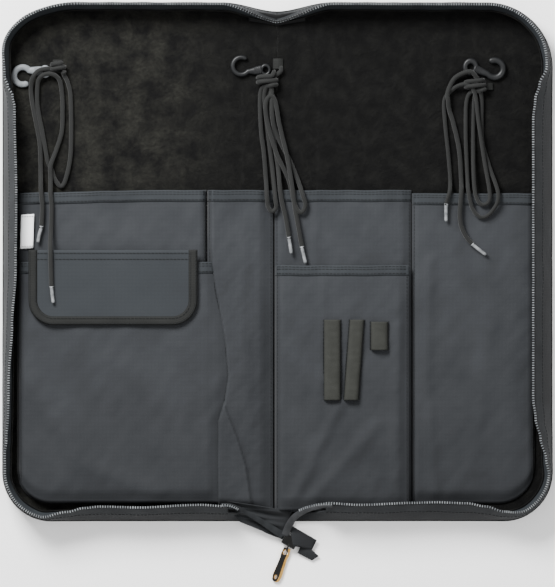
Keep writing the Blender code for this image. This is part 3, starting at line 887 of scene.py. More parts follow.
@dataclass(frozen=True)
class Leaf:
    """Plan of half the open bag, from its middle line out to a cover's rounded edge."""

    side: Side
    inset: float = 0.0

    def map(self, across: float, up: float) -> tuple[float, float]:
        """Point of the plan for shares of its width, 0 to 1, and of its height, -1 to 1."""
        rim = RIMS[self.side]
        wide = rim.edge - self.inset
        top_across, top_down = (v - self.inset for v in rim.top_corner)
        corner = rim.corner - self.inset
        x = wide * across
        if x > wide - top_across:
            t = (x - (wide - top_across)) / top_across
            x = wide - top_across + top_across * math.sin(t * math.pi / 2)
        half = rim.half_height - self.inset
        over_top = max(0.0, x - (wide - top_across)) / top_across
        over_low = max(0.0, x - (wide - corner)) / corner
        top = half - top_down * (1 - math.sqrt(max(0.0, 1 - over_top**2)))
        low = half - corner * (1 - math.sqrt(max(0.0, 1 - over_low**2)))
        if x < rim.start:
            top -= rim.top_dip * ease(1 - x / rim.start)
        lapped = x if across else -0.4
        return self.side.value * lapped, top * up if up > 0 else low * up

    def cloth(self, name: str, height: Callable[[float, float], float], columns: int, rows: int,
              hem: float = 0.0) -> bpy.types.Object:
        """Grid over the plan.

        Args:
            name: Name of the new object.
            height: Height at a point of the plan.
            columns: Faces across.
            rows: Faces up.
            hem: How far the rim of the cloth hangs below the rest.

        Returns:
            The cloth.
        """

        def place(i: int, j: int) -> tuple[float, float, float]:
            """Point of the grid at column i and row j."""
            x, y = self.map(i / columns, 2 * j / rows - 1)
            border = i == columns or j in (0, rows)
            return x, y, height(x, y) - (hem if border else 0.0)

        return surface(name, columns, rows, place, flip=self.side is Side.LEFT)


@dataclass(frozen=True)
class Cover:
    """Outer cloth and plush lining of one half of the bag."""

    side: Side
    pile_inset: float = 5.5

    def outside(self, x: float, y: float) -> float:
        """Height of the top of the outer cloth."""
        return 0.8

    def pile(self, x: float, y: float) -> float:
        """Height of the plush, which is quilted down at the folds and lumpy elsewhere."""
        open_part = ease((y - 40) / 30)
        lumps = 0.5 * ripple(x, y, 16.0, 3.0) + 0.35 * ripple(x, y, 6.0, 8.0) + 0.3 * ripple(x, y, 3.0, 5.0)
        fold = 1.3 * bump(abs(x) - 35, 3.0)
        return 6.6 + (0.55 * lumps - fold) * open_part

    def build(self) -> None:
        """Make the two cloths."""
        word = self.side.word
        shell = Leaf(self.side, 0.4).cloth(f"{word}_outer_cloth", self.outside, 100, 60)
        WARDROBE.dress(baked(thicken(shell, 0.8)), SHELL)
        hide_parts(f"{word}_outer_panel", *(["spine_outer_panel"] if self.side is Side.LEFT else []))
        across_fold(shell, self.side, 6.0)
        lining = Leaf(self.side, self.pile_inset).cloth(f"{word}_plush_lining", self.pile, 122, 234, hem=1.4)
        WARDROBE.dress(baked(thicken(lining, 1.6)), PLUSH)
        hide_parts(f"{word}_lining", *(["spine_lining"] if self.side is Side.LEFT else []))
        across_fold(lining, self.side, 10.0)


# ---------------------------------------------------------------- pockets


class Fold(Enum):
    """How far each side of a fold a pocket's cloth reaches, in millimetres."""

    NONE = 0.0
    STICK = 17.0
    HIGH = 25.0


@dataclass(frozen=True)
class Pocket:
    """A cloth panel sewn down at its sides and bottom, with a double-stitched hem at its mouth."""

    name: str
    x0: float
    x1: float
    y0: float
    y1: float
    floor: float
    lift: float
    nodes: tuple[str, ...]
    body: str
    creases: tuple[Crease, ...] = ()
    side: Optional[Side] = None
    fold: Fold = Fold.NONE
    hem: float = 11.0
    seed: float = 0.0
    sewn: tuple[bool, bool] = (True, True)
    slack: float = 0.0
    cell: float = 2.4
    drop: float = 0.0
    corners: tuple[float, float] = (0.0, 0.0)
    wrinkle: float = 1.0
    rests_on: str = "left_plush_lining"
    right_edge: tuple[tuple[float, float], ...] = ()
    low_left: float = 0.0
    soft: float = 6.0

    def height(self, x: float, y: float) -> float:
        """Height of the cloth: down at its seams, lifted between them, with its folds."""
        left = (x - self.x0) if self.sewn[0] else 40.0
        right = (self.limit(y) - x) if self.sewn[1] else 40.0
        rise = min(ease((left + 1) / 6), ease((right + 1) / self.soft)) * ease((y - self.bottom(x) + 1) / 14)
        drape = 0.9 * ripple(x + 0.4 * y, y * 0.35, 30.0, self.seed)
        wave = self.wrinkle * (drape + 0.45 * ripple(x - 0.5 * y, y * 0.5, 13.0, self.seed + 3)
                               + 0.18 * ripple(x, y, 5.0, self.seed + 6))
        folds = sum(c.lift(x, y) for c in self.creases)
        mouth = self.slack * bump(self.y1 - y, 16.0) * math.sin(math.pi * (x - self.x0) / (self.x1 - self.x0))
        floor = self.floor + 0.9 - self.low_left * (1 - ease((x - self.x0 + 1) / 8))
        return floor + rise * (self.lift + 1.3 * wave + folds + mouth)

    def limit(self, y: float) -> float:
        """X of the right-hand edge at a height."""
        return keyed(self.right_edge, y) if self.right_edge else self.x1

    def bottom(self, x: float) -> float:
        """Y of the lower edge at a place across, with its round corners."""
        rise = 0.0
        for radius, away in zip(self.corners, (x - self.x0, self.x1 - x)):
            if radius and away < radius:
                rise += radius - math.sqrt(max(0.0, radius**2 - (radius - away) ** 2))
        return self.y0 + rise

    def mouth(self, x: float) -> float:
        """How far the mouth's edge strays from a straight line at a place across."""
        t = (x - self.x0) / (self.x1 - self.x0)
        return 0.5 * ripple(x, self.seed, 19.0) - self.drop * (1 - ease(t * 1.3))

    def finish_piece(self, obj: bpy.types.Object, finish: Finish) -> bpy.types.Object:
        """Dress a piece of the pocket; it rides on its body, or has its place baked where it crosses a fold.
        """
        WARDROBE.dress(obj, finish)
        if self.fold is Fold.NONE:
            return riding(obj, self.body)
        return across_fold(obj, self.side, self.fold.value)

    def build(self) -> bpy.types.Object:
        """Make the panel, its hem and its rows of stitches."""
        wide, tall = self.x1 - self.x0, self.y1 - self.y0
        columns, rows = round(wide / self.cell), round(tall / self.cell)

        def place(i: int, j: int) -> tuple[float, float, float]:
            """Point of the grid at column i and row j."""
            x = self.x0 + wide * i / columns
            y = blend_numbers(self.bottom(x), self.y1, j / rows)
            x = blend_numbers(self.x0, self.limit(y), i / columns)
            return x, y + self.mouth(x) * ease((y - self.y1 + 40) / 40), self.height(x, y)

        panel = baked(thicken(surface(self.name, columns, rows, place), 0.8))
        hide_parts(*self.nodes)
        self.finish_piece(panel, NYLON)
        if self.hem:
            self.finish_piece(self.make_hem(columns), NYLON_HEM)
            for drop in (1.6, 3.8, self.hem - 2.2):
                row = [Vector((x, self.y1 - drop + self.mouth(x), self.height(x, self.y1 - drop) + 0.55))
                       for x in self.steps(self.x0 + 1.5, self.x1 - 1.5)]
                self.finish_piece(stitches(f"{self.name}_hem_thread_{round(drop)}", row), THREAD)
        for tag, at, sewn in (("left", 0, self.sewn[0]), ("right", 1, self.sewn[1])):
            if sewn:
                low = self.bottom(self.x1 - 2.2 if at else self.x0 + 2.2)
                spots = [(self.limit(y) - 2.2 if at else self.x0 + 2.2, y)
                         for y in self.steps(low + 2, self.y1 - 2)]
                row = [Vector((x, y, self.height(x, y) + 0.15)) for x, y in spots]
                self.finish_piece(stitches(f"{self.name}_{tag}_thread", row), THREAD)
        return panel

    def steps(self, start: float, end: float) -> list[float]:
        """Even steps of about 2 mm."""
        count = max(2, round((end - start) / 2))
        return [start + (end - start) * i / count for i in range(count + 1)]

    def make_hem(self, columns: int) -> bpy.types.Object:
        """The turned-down edge at the pocket's mouth."""
        rows = 5

        def place(i: int, j: int) -> tuple[float, float, float]:
            """Point of the grid at column i and row j."""
            x = self.x0 + (self.x1 - self.x0) * i / columns
            y = self.y1 - self.hem * (1 - j / rows)
            rise = 0.55 if 0 < j < rows else 0.1
            return x, y + self.mouth(x), self.height(x, y) + rise

        return baked(thicken(surface(f"{self.name}_hem", columns, rows, place), 0.5))


PLEAT = ((-64.4, 66.0), (-62.6, 26.0), (-58.0, -16.6), (-47.8, -72.7), (-45.0, -104.9), (-48.8, -130.6),
         (-54.0, -146.0), (-54.5, -182.0), (-54.0, -230.0))
PLEAT_RIGHT = ((-48.8, -130.6), (-36.8, -161.0), (-28.5, -187.7), (-24.0, -219.0))

POCKETS = (
    Pocket("first_stick_pocket", -239, -64.3, -222, 66, 7.0, 4.4, ("left_stick_pocket",), "left_cover",
           seed=1.0, slack=1.0, drop=2.4, corners=(30, 0)),
    Pocket("second_stick_pocket", -64, -3.4, -230, 66, 7.0, 3.6, ("spine_pocket_side", "spine_pocket"),
           "spine", side=Side.LEFT, fold=Fold.STICK, seed=2.0, cell=1.3, soft=15.0,
           creases=(Crease(PLEAT, 0.6, 7.0, 6.5), Crease(PLEAT_RIGHT, 0.9, 2.2, -2.2),
                    Crease(((-30, 40), (-31, -60), (-24, -150)), 0.7, 6.0))),
    Pocket("third_stick_pocket", -2.2, 123.6, -230, 66, 7.0, 3.8,
           ("spine_pocket_sheet", "centre_right_pocket"), "spine", side=Side.RIGHT, fold=Fold.STICK,
           rests_on="right_plush_lining", soft=11.0,
           seed=3.0, cell=2.0, creases=(Crease(((37, 66), (33, -40), (38, -219)), 0.8, 5.0),)),
    Pocket("fourth_stick_pocket", 124, 237, -222, 63, 7.0, 4.2, ("right_stick_pocket",), "right_cover",
           seed=4.0, slack=0.8, corners=(0, 34),
           creases=(Crease(((140, 0), (137, -110), (146, -220)), 1.6, 6.0),
                    Crease(((190, 40), (196, -60), (180, -190)), 1.2, 9.0)), rests_on="right_plush_lining"),
    Pocket("accessory_panel", -237, -58, -221, 0, 14.2, 3.2, ("accessory_pocket",), "left_cover", seed=5.0,
           corners=(29, 0), side=Side.LEFT, fold=Fold.HIGH, rests_on="first_stick_pocket", soft=13.0,
           right_edge=((-221, -52), (-150, -52), (-130, -46.5), (-105, -43), (-73, -45.5), (-17, -55.5),
                       (0, -58)),
           creases=(Crease(((-64, 0), (-66, -110), (-63, -219)), 0.5, 3.0),
                    Crease(((-226, -110), (-180, -185), (-110, -214)), 1.5, 9.0),
                    Crease(((-150, -90), (-90, -150), (-70, -210)), 1.2, 10.0))),
    Pocket("tool_panel", -1.6, 121.5, -228, -3, 14.2, 3.4, ("tool_pocket",), "right_cover", seed=6.0,
           cell=1.8, hem=10.0, side=Side.RIGHT, fold=Fold.HIGH, low_left=5.6,
           rests_on="third_stick_pocket", soft=12.0,
           creases=(Crease(((44, -10), (40, -110), (36, -150)), 0.7, 5.0),
                    Crease(((58, -130), (12, -226)), 1.7, 6.0),
                    Crease(((92, -150), (24, -226)), 1.4, 6.0), Crease(((112, -60), (108, -210)), 1.2, 6.0))),
)


@dataclass(frozen=True)
class ElasticLoop:
    """A sleeve of elastic sewn down at both sides, open at its ends."""

    name: str
    lean: float = 0.0

    def build(self) -> None:
        """Make the sleeve and the thread that holds it."""
        box = Box.of(self.name)
        wide, tall = box.x1 - box.x0, box.y1 - box.y0
        columns, rows = 22, round(tall / 1.5)
        rise = box.z1 - box.z0 - 0.6

        def place(i: int, j: int) -> tuple[float, float, float]:
            """Point of the grid at column i and row j."""
            y = box.y0 + tall * j / rows
            t = -1 + 2 * i / columns
            shape = (1 - abs(t) ** 3.2) ** (1 / 2.2)
            sag = 0.4 * ripple(y, t, 14.0) + 0.25 * math.sin(y * 0.9) * (1 - abs(t))
            shift = self.lean * (j / rows - 0.5)
            x = (box.x0 + box.x1) / 2 + t * wide / 2 + shift
            return x, y, box.z0 - 0.2 + max(0.0, shape) * (rise - 0.4 + sag * 0.5)

        def chart(i: int, j: int) -> tuple[float, float]:
            """UV of a grid point, in metres."""
            return i / columns * wide * 1.3 * MM, j / rows * tall * MM

        sleeve = thicken(surface(f"{self.name}_band", columns, rows, place, chart), 0.9)
        WARDROBE.dress(sleeve, ELASTIC)
        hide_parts(self.name)
        riding(sleeve, "right_cover")
        for tag, x in (("inner", box.x0 - 0.6), ("outer", box.x1 + 0.6)):
            row = [Vector((x + self.lean * (k / 30 - 0.5), box.y0 + tall * k / 30, box.z0 - 0.9))
                   for k in range(31)]
            riding(WARDROBE.dress(stitches(f"{self.name}_{tag}_thread", row), THREAD), "right_cover")


@dataclass(frozen=True)
class Flap:
    """The accessory pocket's flap with its bound edge and its fastener."""

    corner: float = 23.0
    binding: float = 8.0
    cell: float = 2.2

    def outline(self, box: Box, across: float, down: float) -> tuple[float, float]:
        """Point of the flap for shares of its width and its length, with round lower corners."""
        half, tall = (box.x1 - box.x0) / 2, box.y1 - box.y0
        y = box.y1 - tall * down
        under = max(0.0, self.corner - (y - box.y0))
        pull = self.corner - math.sqrt(max(0.0, self.corner**2 - under**2))
        return (box.x0 + box.x1) / 2 + (half - pull) * (2 * across - 1), y

    def height(self, x: float, y: float) -> float:
        """Height of the flap's top: it is flat at its seam and slightly curled at its free edge."""
        return 21.6 + 0.5 * ripple(x, y, 26.0, 9.0) + 0.5 * ease((-y) / 60)

    def build(self) -> None:
        """Make the flap's cloth, binding, stitches and fastener."""
        outer = Box.of("flap_binding")
        columns, rows = 76, 40
        centre = Vector(((outer.x0 + outer.x1) / 2, outer.y1, 0))

        def share(j: int) -> float:
            """Share of the length at a row, with rows closer at the round corners."""
            return math.sin(j / rows * math.pi / 2)

        def place(i: int, j: int) -> tuple[float, float, float]:
            """Point of the grid at column i and row j."""
            x, y = self.outline(outer, i / columns, share(rows - j))
            return x, y, self.height(x, y)

        cloth = thicken(surface("accessory_flap_cloth", columns, rows, place), 0.8)
        WARDROBE.dress(cloth, NYLON_FLAP)
        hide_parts("accessory_flap")
        riding(cloth, "flap")
        edge = self.edge_route(outer, 0.0)
        inner = self.edge_route(outer, self.binding)
        rows_in = 5

        def bound(i: int, j: int) -> tuple[float, float, float]:
            """Point across the binding, raised between its edges."""
            p = edge[i].lerp(inner[i], j / rows_in)
            crown = 0.75 if 0 < j < rows_in else 0.15
            return p.x, p.y, self.height(p.x, p.y) + crown

        def chart(i: int, j: int) -> tuple[float, float]:
            """UV of a grid point, in metres."""
            return i * 2.0 * MM, j / rows_in * self.binding * MM

        band = thicken(surface("flap_edge_binding", len(edge) - 1, rows_in, bound, chart), 0.5)
        WARDROBE.dress(band, BINDING)
        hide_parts("flap_binding")
        riding(band, "flap")
        for inset in (self.binding - 1.6, 1.4):
            row = [p + Vector((0, 0, self.height(p.x, p.y) + 0.95)) for p in self.edge_route(outer, inset)]
            riding(WARDROBE.dress(stitches(f"flap_thread_{round(inset)}", row), THREAD), "flap")
        for drop in (3.0, 8.5):
            row = [centre + Vector((t * 2 - 74, -drop, self.height(t * 2 - 224, outer.y1 - drop) + 0.3))
                   for t in range(75)]
            riding(WARDROBE.dress(stitches(f"flap_seam_thread_{round(drop)}", row), THREAD), "flap")
        for node, body in (("flap_loop_patch", "left_cover"), ("flap_hook_patch", "flap")):
            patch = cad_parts[node]
            WARDROBE.dress(patch, FASTENER)
            LOG.info("%s keeps its CAD shape on %s", node, body)

    def edge_route(self, box: Box, inset: float) -> list[Vector]:
        """Plan of the free edge, from the left end of the seam round to the right, moved inwards."""
        r = self.corner
        route = [Vector((box.x0 + inset, box.y1 - t, 0)) for t in range(0, int(box.y1 - box.y0 - r), 2)]
        for k in range(17):
            a = math.pi + math.pi / 2 * k / 16
            route.append(Vector((box.x0 + r + (r - inset) * math.cos(a),
                                 box.y0 + r + (r - inset) * math.sin(a), 0)))
        left, right = box.x0 + r, box.x1 - r
        route += [Vector((left + (right - left) * k / 50, box.y0 + inset, 0)) for k in range(1, 50)]
        middle = (box.x0 + box.x1) / 2
        mirrored = [Vector((2 * middle - p.x, p.y, 0)) for p in route if p.x < left + 0.1]
        return route + mirrored[::-1]


@dataclass(frozen=True)
class Label:
    """Blank satin label, sewn down at its ends."""

    corners: tuple[tuple[float, float], ...] = ((-236, 12), (-224, 12.6), (-223, 44), (-235, 43.4))

    def build(self) -> None:
        """Make the label and its stitches."""
        (ax, ay), (bx, by), (cx, cy), (dx, dy) = self.corners

        def place(i: int, j: int) -> tuple[float, float, float]:
            """Point of the grid at column i and row j."""
            s, t = i / 6, j / 14
            x = (ax * (1 - s) + bx * s) * (1 - t) + (dx * (1 - s) + cx * s) * t
            y = (ay * (1 - s) + by * s) * (1 - t) + (dy * (1 - s) + cy * s) * t
            return x, y, 14.3 + 0.7 * math.sin(math.pi * t) + 0.4 * s + 0.2 * ripple(x, y, 9.0)

        label = thicken(surface("blank_care_label", 6, 14, place), 0.3)
        WARDROBE.dress(label, SATIN)
        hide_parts("care_label")
        riding(label, "left_cover")
        for tag, y in (("low", 14.2), ("high", 41.4)):
            row = [Vector((-234.5 + k, y + k * 0.05, 14.95 + 0.04 * k)) for k in range(11)]
            thread = stitches(f"label_thread_{tag}", row, 2.2, size=(1.5, 0.4, 0.3))
            riding(WARDROBE.dress(thread, PALE_THREAD), "left_cover")


# ---------------------------------------------------------------- hooks and laces


@dataclass(frozen=True)
class Hook:
    """Flat moulded hook: an eye, a ribbed stem that widens towards it, and a curl."""

    side_word: str
    body: str
    eye: tuple[float, float]
    curl: tuple[float, float]
    mirror: int
    flip: int
    finish: Finish
    radius: float = 7.9
    level: float = 9.3
    wire: float = 2.1
    foot: float = 1.6
    ring: tuple[float, float] = (3.7, 1.45)

    def build(self) -> None:
        """Make the eye, the stem with the curl, and the ribs."""
        eye = Vector((*self.eye, self.level))
        name = f"{self.side_word}_hook"

        def ring(i: int, j: int) -> tuple[float, float, float]:
            """Point of the eye, as a ring."""
            a, b = 2 * math.pi * (i % 12) / 12, 2 * math.pi * (j % 32) / 32
            r = self.ring[0] + self.ring[1] * math.cos(a)
            return eye.x + r * math.cos(b), eye.y + 1.15 * r * math.sin(b), eye.z + 1.5 * math.sin(a)

        loop = surface(f"{name}_eye", 12, 32, ring, ring=True)
        angles = [math.radians(-40 - 9 * k) for k in range(31)]
        arc = [Vector((self.curl[0] + self.mirror * self.radius * math.cos(a),
                       self.curl[1] + self.flip * self.radius * math.sin(a), self.level)) for a in angles]
        start = eye + (arc[0] - eye).normalized() * 3.4
        stem = [start.lerp(arc[0], k / 6) for k in range(6)]
        route = smooth_route([tuple(p) for p in [*stem, *arc]], 0.9)

        def girth(t: float) -> float:
            """Thickness along the shank, from its foot to its tip."""
            return (self.wire + self.foot * ease(1 - t / 0.3)) * (1 - 0.75 * ease((t - 0.965) / 0.035))

        shank = tube(f"{name}_shank", route, girth, 16, tall=lambda t: min(1.9, girth(t) * 0.86))
        ahead = (arc[0] - start).normalized()
        across = Vector((-ahead.y, ahead.x, 0))
        ribs = [seat(start + ahead * (1.2 + 1.7 * k) + Vector((0, 0, 1.75)), across, Vector((0, 0, 1)))
                for k in range(4)]
        grips = scatter_boxes(f"{name}_ribs", ribs, (5.4, 0.7, 0.9))
        for piece in (loop, shank, grips):
            WARDROBE.dress(piece, self.finish)
            riding(piece, self.body)
        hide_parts(f"{self.side_word}_hook")


@dataclass(frozen=True)
class Tab:
    """Small folded webbing tab that a hook and its lace are tied to."""

    word: str
    body: str

    def build(self) -> None:
        """Make the tab."""
        box = Box.of(f"{self.word}_cord_tab")

        def place(i: int, j: int) -> tuple[float, float, float]:
            """Point of the grid at column i and row j."""
            s, t = i / 8, j / 8
            arch = 2.2 * math.sin(math.pi * s) * (0.6 + 0.4 * t)
            return (blend_numbers(box.x0, box.x1, s), blend_numbers(box.y0, box.y1, t), box.z0 + 0.9 + arch)

        tab = soften(thicken(surface(f"{self.word}_webbing_tab", 8, 8, place), 0.8))
        WARDROBE.dress(tab, BINDING)
        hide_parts(f"{self.word}_cord_tab")
        riding(tab, self.body)


def wrap(centre: tuple[float, float], half: Point, turns: float, start_angle: float = 0.0) -> list[Point]:
    """Points of a cord wound round a bundle.

    Args:
        centre: X of the bundle and height of its middle.
        half: Half the coil's width, half its height and where it runs: first Y packed last.
        turns: Number of turns, which sink 4.4 mm each.
        start_angle: Where the coil starts, in degrees from the right.

    Returns:
        The coil's points.
    """
    x, z = centre
    wide, tall, y = half
    steps = int(turns * 12)
    return [
        (x + wide * math.cos(a), y - 4.4 * a0 / (2 * math.pi), z + tall * math.sin(a))
        for k in range(steps + 1)
        for a0 in (k * math.pi / 6,)
        for a in (a0 + math.radians(start_angle),)
    ]


@dataclass(frozen=True)
class Lace:
    """One end-to-end bootlace with a crimped sleeve on its end."""

    name: str
    route: tuple[Point, ...]
    tip: Point
    body: str
    nodes: tuple[str, ...]
    sleeve_node: str
    fold: Optional[Side] = None
    reach: float = 20.0
    diameter: float = 4.0
    sleeve: float = 15.0

    def build(self) -> None:
        route = smooth_route([*self.route, self.tip], 1.6)
        along = lengths(route)
        cut = next(i for i, s in enumerate(along) if s >= along[-1] - self.sleeve)
        body_route = route[: cut + 1]
        half = self.diameter / 2
        cord = tube(self.name, body_route, lambda t: half * (0.3 + 0.7 * ease(t / 0.004 + 0.3)), 12,
                    flat=0.88)
        sleeve = tube(f"{self.name}_sleeve", route[cut - 1:],
                      lambda t: half * (1.02 - 0.22 * ease(t * 6) - 0.16 * ease(t * 18 - 17)), 12)
        WARDROBE.dress(cord, CORD)
        WARDROBE.dress(sleeve, AGLET)
        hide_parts(*self.nodes)
        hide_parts(self.sleeve_node)
        for piece in (cord, sleeve):
            if self.fold:
                across_fold(piece, self.fold, self.reach)
            else:
                riding(piece, self.body)
        lengths(body_route)[-1] * MM
        [p * MM for p in body_route]
        LOG.info("%s is %.0f mm long", self.name, lengths(body_route)[-1])


LACES = (
    Lace("left_short_lace", (
        (-203, 176.5, 10), (-211, 177.5, 13.2), (-219, 175.5, 13.6), (-224.5, 169, 13.4), (-226, 160, 10.5),
        (-225.2, 149, 9), (-221.5, 129, 9), (-218, 109.5, 9), (-217, 85, 9.2), (-216.8, 70, 14.5),
        (-216.3, 60, 16), (-215.5, 50.6, 16), (-216.3, 33, 16.2), (-218, 26, 16.2)), (-219.6, 18, 16.2),
        "left_cover", ("left_short_tail",), "left_short_aglet"),
    Lace("left_long_lace", (
        *wrap((-201, 12.0), (6.0, 4.0, 183), 2.0, 40), (-195.5, 171.5, 10.5), (-192, 164, 9.5),
        (-189.5, 149, 9), (-189.5, 101, 9),
        (-194.1, 76.4, 9.2), (-198.7, 69.5, 9.5), (-204.2, 76.4, 9.3), (-207, 84.6, 9.3), (-210.7, 93, 9.1),
        (-215.3, 118, 9), (-219.9, 142.6, 9.2), (-220, 162, 11), (-217.5, 169.5, 13.4),
        (-211.5, 172.8, 13.6), (-204, 171.5, 13), (-199.5, 166, 11), (-197.6, 155, 9.2), (-196.9, 139, 9),
        (-197.8, 119.6, 9), (-202.4, 104, 9.5), (-207.9, 88.3, 12.7), (-207.9, 76.4, 12.7),
        (-208, 63.5, 16.2), (-207, 50.6, 16.2), (-207.5, 29.4, 17), (-208, 19.3, 21), (-207.8, 10, 24.4),
        (-207.4, -8, 24.4), (-206.7, -24, 24.4)), (-205.2, -37.7, 24.4),
        "left_cover", ("left_hank", "left_long_tail"), "left_long_aglet"),
    Lace("centre_short_lace", (
        (3, 180, 9.5), (3.7, 175.7, 10), (-1.8, 171, 10.5), (-9, 166, 11), (-7, 158, 9), (-6.4, 140, 9),
        (-2.8, 112, 9), (0.9, 88.3, 9.4), (2.5, 70, 15), (4.2, 57, 16.2), (8, 40.5, 16.2),
        (10.9, 23, 16.2)), (13.2, 7.8, 16.2),
        "spine", ("centre_short_tail",), "centre_short_aglet", fold=Side.RIGHT),
    Lace("centre_long_lace", (
        (-2, 176, 10.5), *wrap((-9, 12.6), (8.6, 4.2, 171), 2.0, 60),
        (-14.7, 157, 9), (-14.7, 123.3, 9), (-12, 100.3, 9), (-10.1, 76.4, 9.8), (-9.3, 61.6, 16),
        (-8.2, 51, 16.2), (-4.6, 46.4, 16.2), (-0.8, 50, 16.2), (-1.5, 58, 16.2), (-4.5, 88, 9),
        (-10.1, 135, 9.3), (-11.5, 152, 9.5), (-9.5, 161, 12.5), (-5, 159, 12.7), (-4.4, 135.2, 12.7),
        (-0.5, 117.8, 9.2), (11, 94.8, 9), (18.4, 77.3, 9.8), (23.5, 62, 16.2), (26, 52, 16.2),
        (22.5, 45.5, 16.2), (17, 51, 16.2), (10.5, 76, 12.7), (-0.5, 100, 12.7), (-9.2, 129.7, 12.7),
        (-10.2, 146, 13.4), (-6, 152.5, 13.6), (-1.5, 147, 13.4), (2.5, 125, 12.7), (9, 98, 12.7),
        (13.5, 72, 15.5), (16.6, 48.8, 16.2), (20, 30, 16.2), (22.8, 14.2, 16.2)), (26.3, -1.3, 16.2),
        "spine", ("centre_hank", "centre_long_tail"), "centre_long_aglet", fold=Side.RIGHT),
    Lace("right_long_lace", (
        (186, 166, 11), (177.6, 174.8, 13.5), (163.8, 169.3, 11), (157, 156.4, 12.4), (157.2, 148, 12.6),
        (158.5, 139, 9.6), (162, 127.9, 9), (167.4, 103, 9), (169.3, 75.4, 9.4), (169.2, 64, 16),
        (168, 40.5, 16.2), (171.5, 27, 16.2), (179.3, 16.6, 16.2)), (191.9, 6.4, 16.2),
        "right_cover", ("right_long_tail",), "right_long_aglet"),
    Lace("right_short_lace", (
        (190, 163, 10), *wrap((182, 12.2), (8.5, 4.2, 167), 2.0, 30), (175.7, 153, 9),
        (173.4, 123.7, 8.9), (175, 80, 9.4), (175.7, 65.3, 16.2), (180, 48, 16.2), (188.4, 40.7, 16.2),
        (198, 47, 16.2), (203.3, 61.6, 16.2), (195, 88.3, 9.4), (188.6, 112.2, 8.9), (188.2, 149, 9.5),
        (186, 156.5, 12.6), (181.6, 151.8, 8.9), (180.4, 112.2, 8.9), (181, 72, 14.5), (184.5, 56, 16.2),
        (190.6, 52.6, 16.2), (195.5, 60.6, 16.2), (190.4, 93.8, 12.6), (184.9, 130.6, 12.6),
        (182.5, 152, 12.8), (177.1, 162, 13.8), (168, 162.5, 13.4), (158.5, 156, 9.2), (153.6, 147.2, 9),
        (154.6, 126, 9), (157.3, 100.3, 9), (159.2, 75.4, 9.4), (158.4, 64, 16), (155.5, 53.4, 16.2)),
        (155.3, 37.3, 16.2),
        "right_cover", ("right_hank", "right_short_tail"), "right_short_aglet"),
)


# ---------------------------------------------------------------- the zip's end


def block(name: str, place: Matrix, size: Point, bevel: float) -> bpy.types.Object:
    """Box with rounded edges, in millimetres."""
    bm = bmesh.new()
    bmesh.ops.create_cube(bm, size=1.0, matrix=Matrix.Scale(MM, 4) @ place @ Matrix.Diagonal((*size, 1.0)))
    bmesh.ops.bevel(bm, geom=bm.edges, offset=bevel * MM, affect="EDGES", segments=3, profile=0.5,
                    material=-1)
    return object_of(name, bm)


def cut_plate(name: str, place: Matrix, outlines: Sequence[Sequence[tuple[float, float]]], thickness: float,
              bevel: float) -> bpy.types.Object:
    """Flat plate with holes.

    Args:
        name: Name of the new object.
        place: Where the plate lies; its outline is drawn in X and Y.
        outlines: The outer outline, then the holes, in millimetres.
        thickness: Thickness of the plate.
        bevel: Size of its rounded edges.

    Returns:
        The plate.
    """
    bm = bmesh.new()
    for outline in outlines:
        verts = [bm.verts.new((x, y, -thickness / 2)) for x, y in outline]
        for a, b in zip(verts, verts[1:] + verts[:1]):
            bm.edges.new((a, b))
    bmesh.ops.triangle_fill(bm, use_beauty=True, edges=bm.edges)
    out = bmesh.ops.extrude_face_region(bm, geom=bm.faces[:])
    raised = [v for v in out["geom"] if isinstance(v, bmesh.types.BMVert)]
    bmesh.ops.translate(bm, verts=raised, vec=(0, 0, thickness))
    bmesh.ops.recalc_face_normals(bm, faces=bm.faces)
    rims = [e for e in bm.edges if e.is_manifold and e.calc_face_angle() > 1.0]
    bmesh.ops.bevel(bm, geom=rims, offset=bevel, affect="EDGES", segments=2, profile=0.5, material=-1)
    bmesh.ops.transform(bm, matrix=Matrix.Scale(MM, 4) @ place, verts=bm.verts)
    obj = object_of(name, bm)
    for face in obj.data.polygons:
        face.use_smooth = False
    return obj


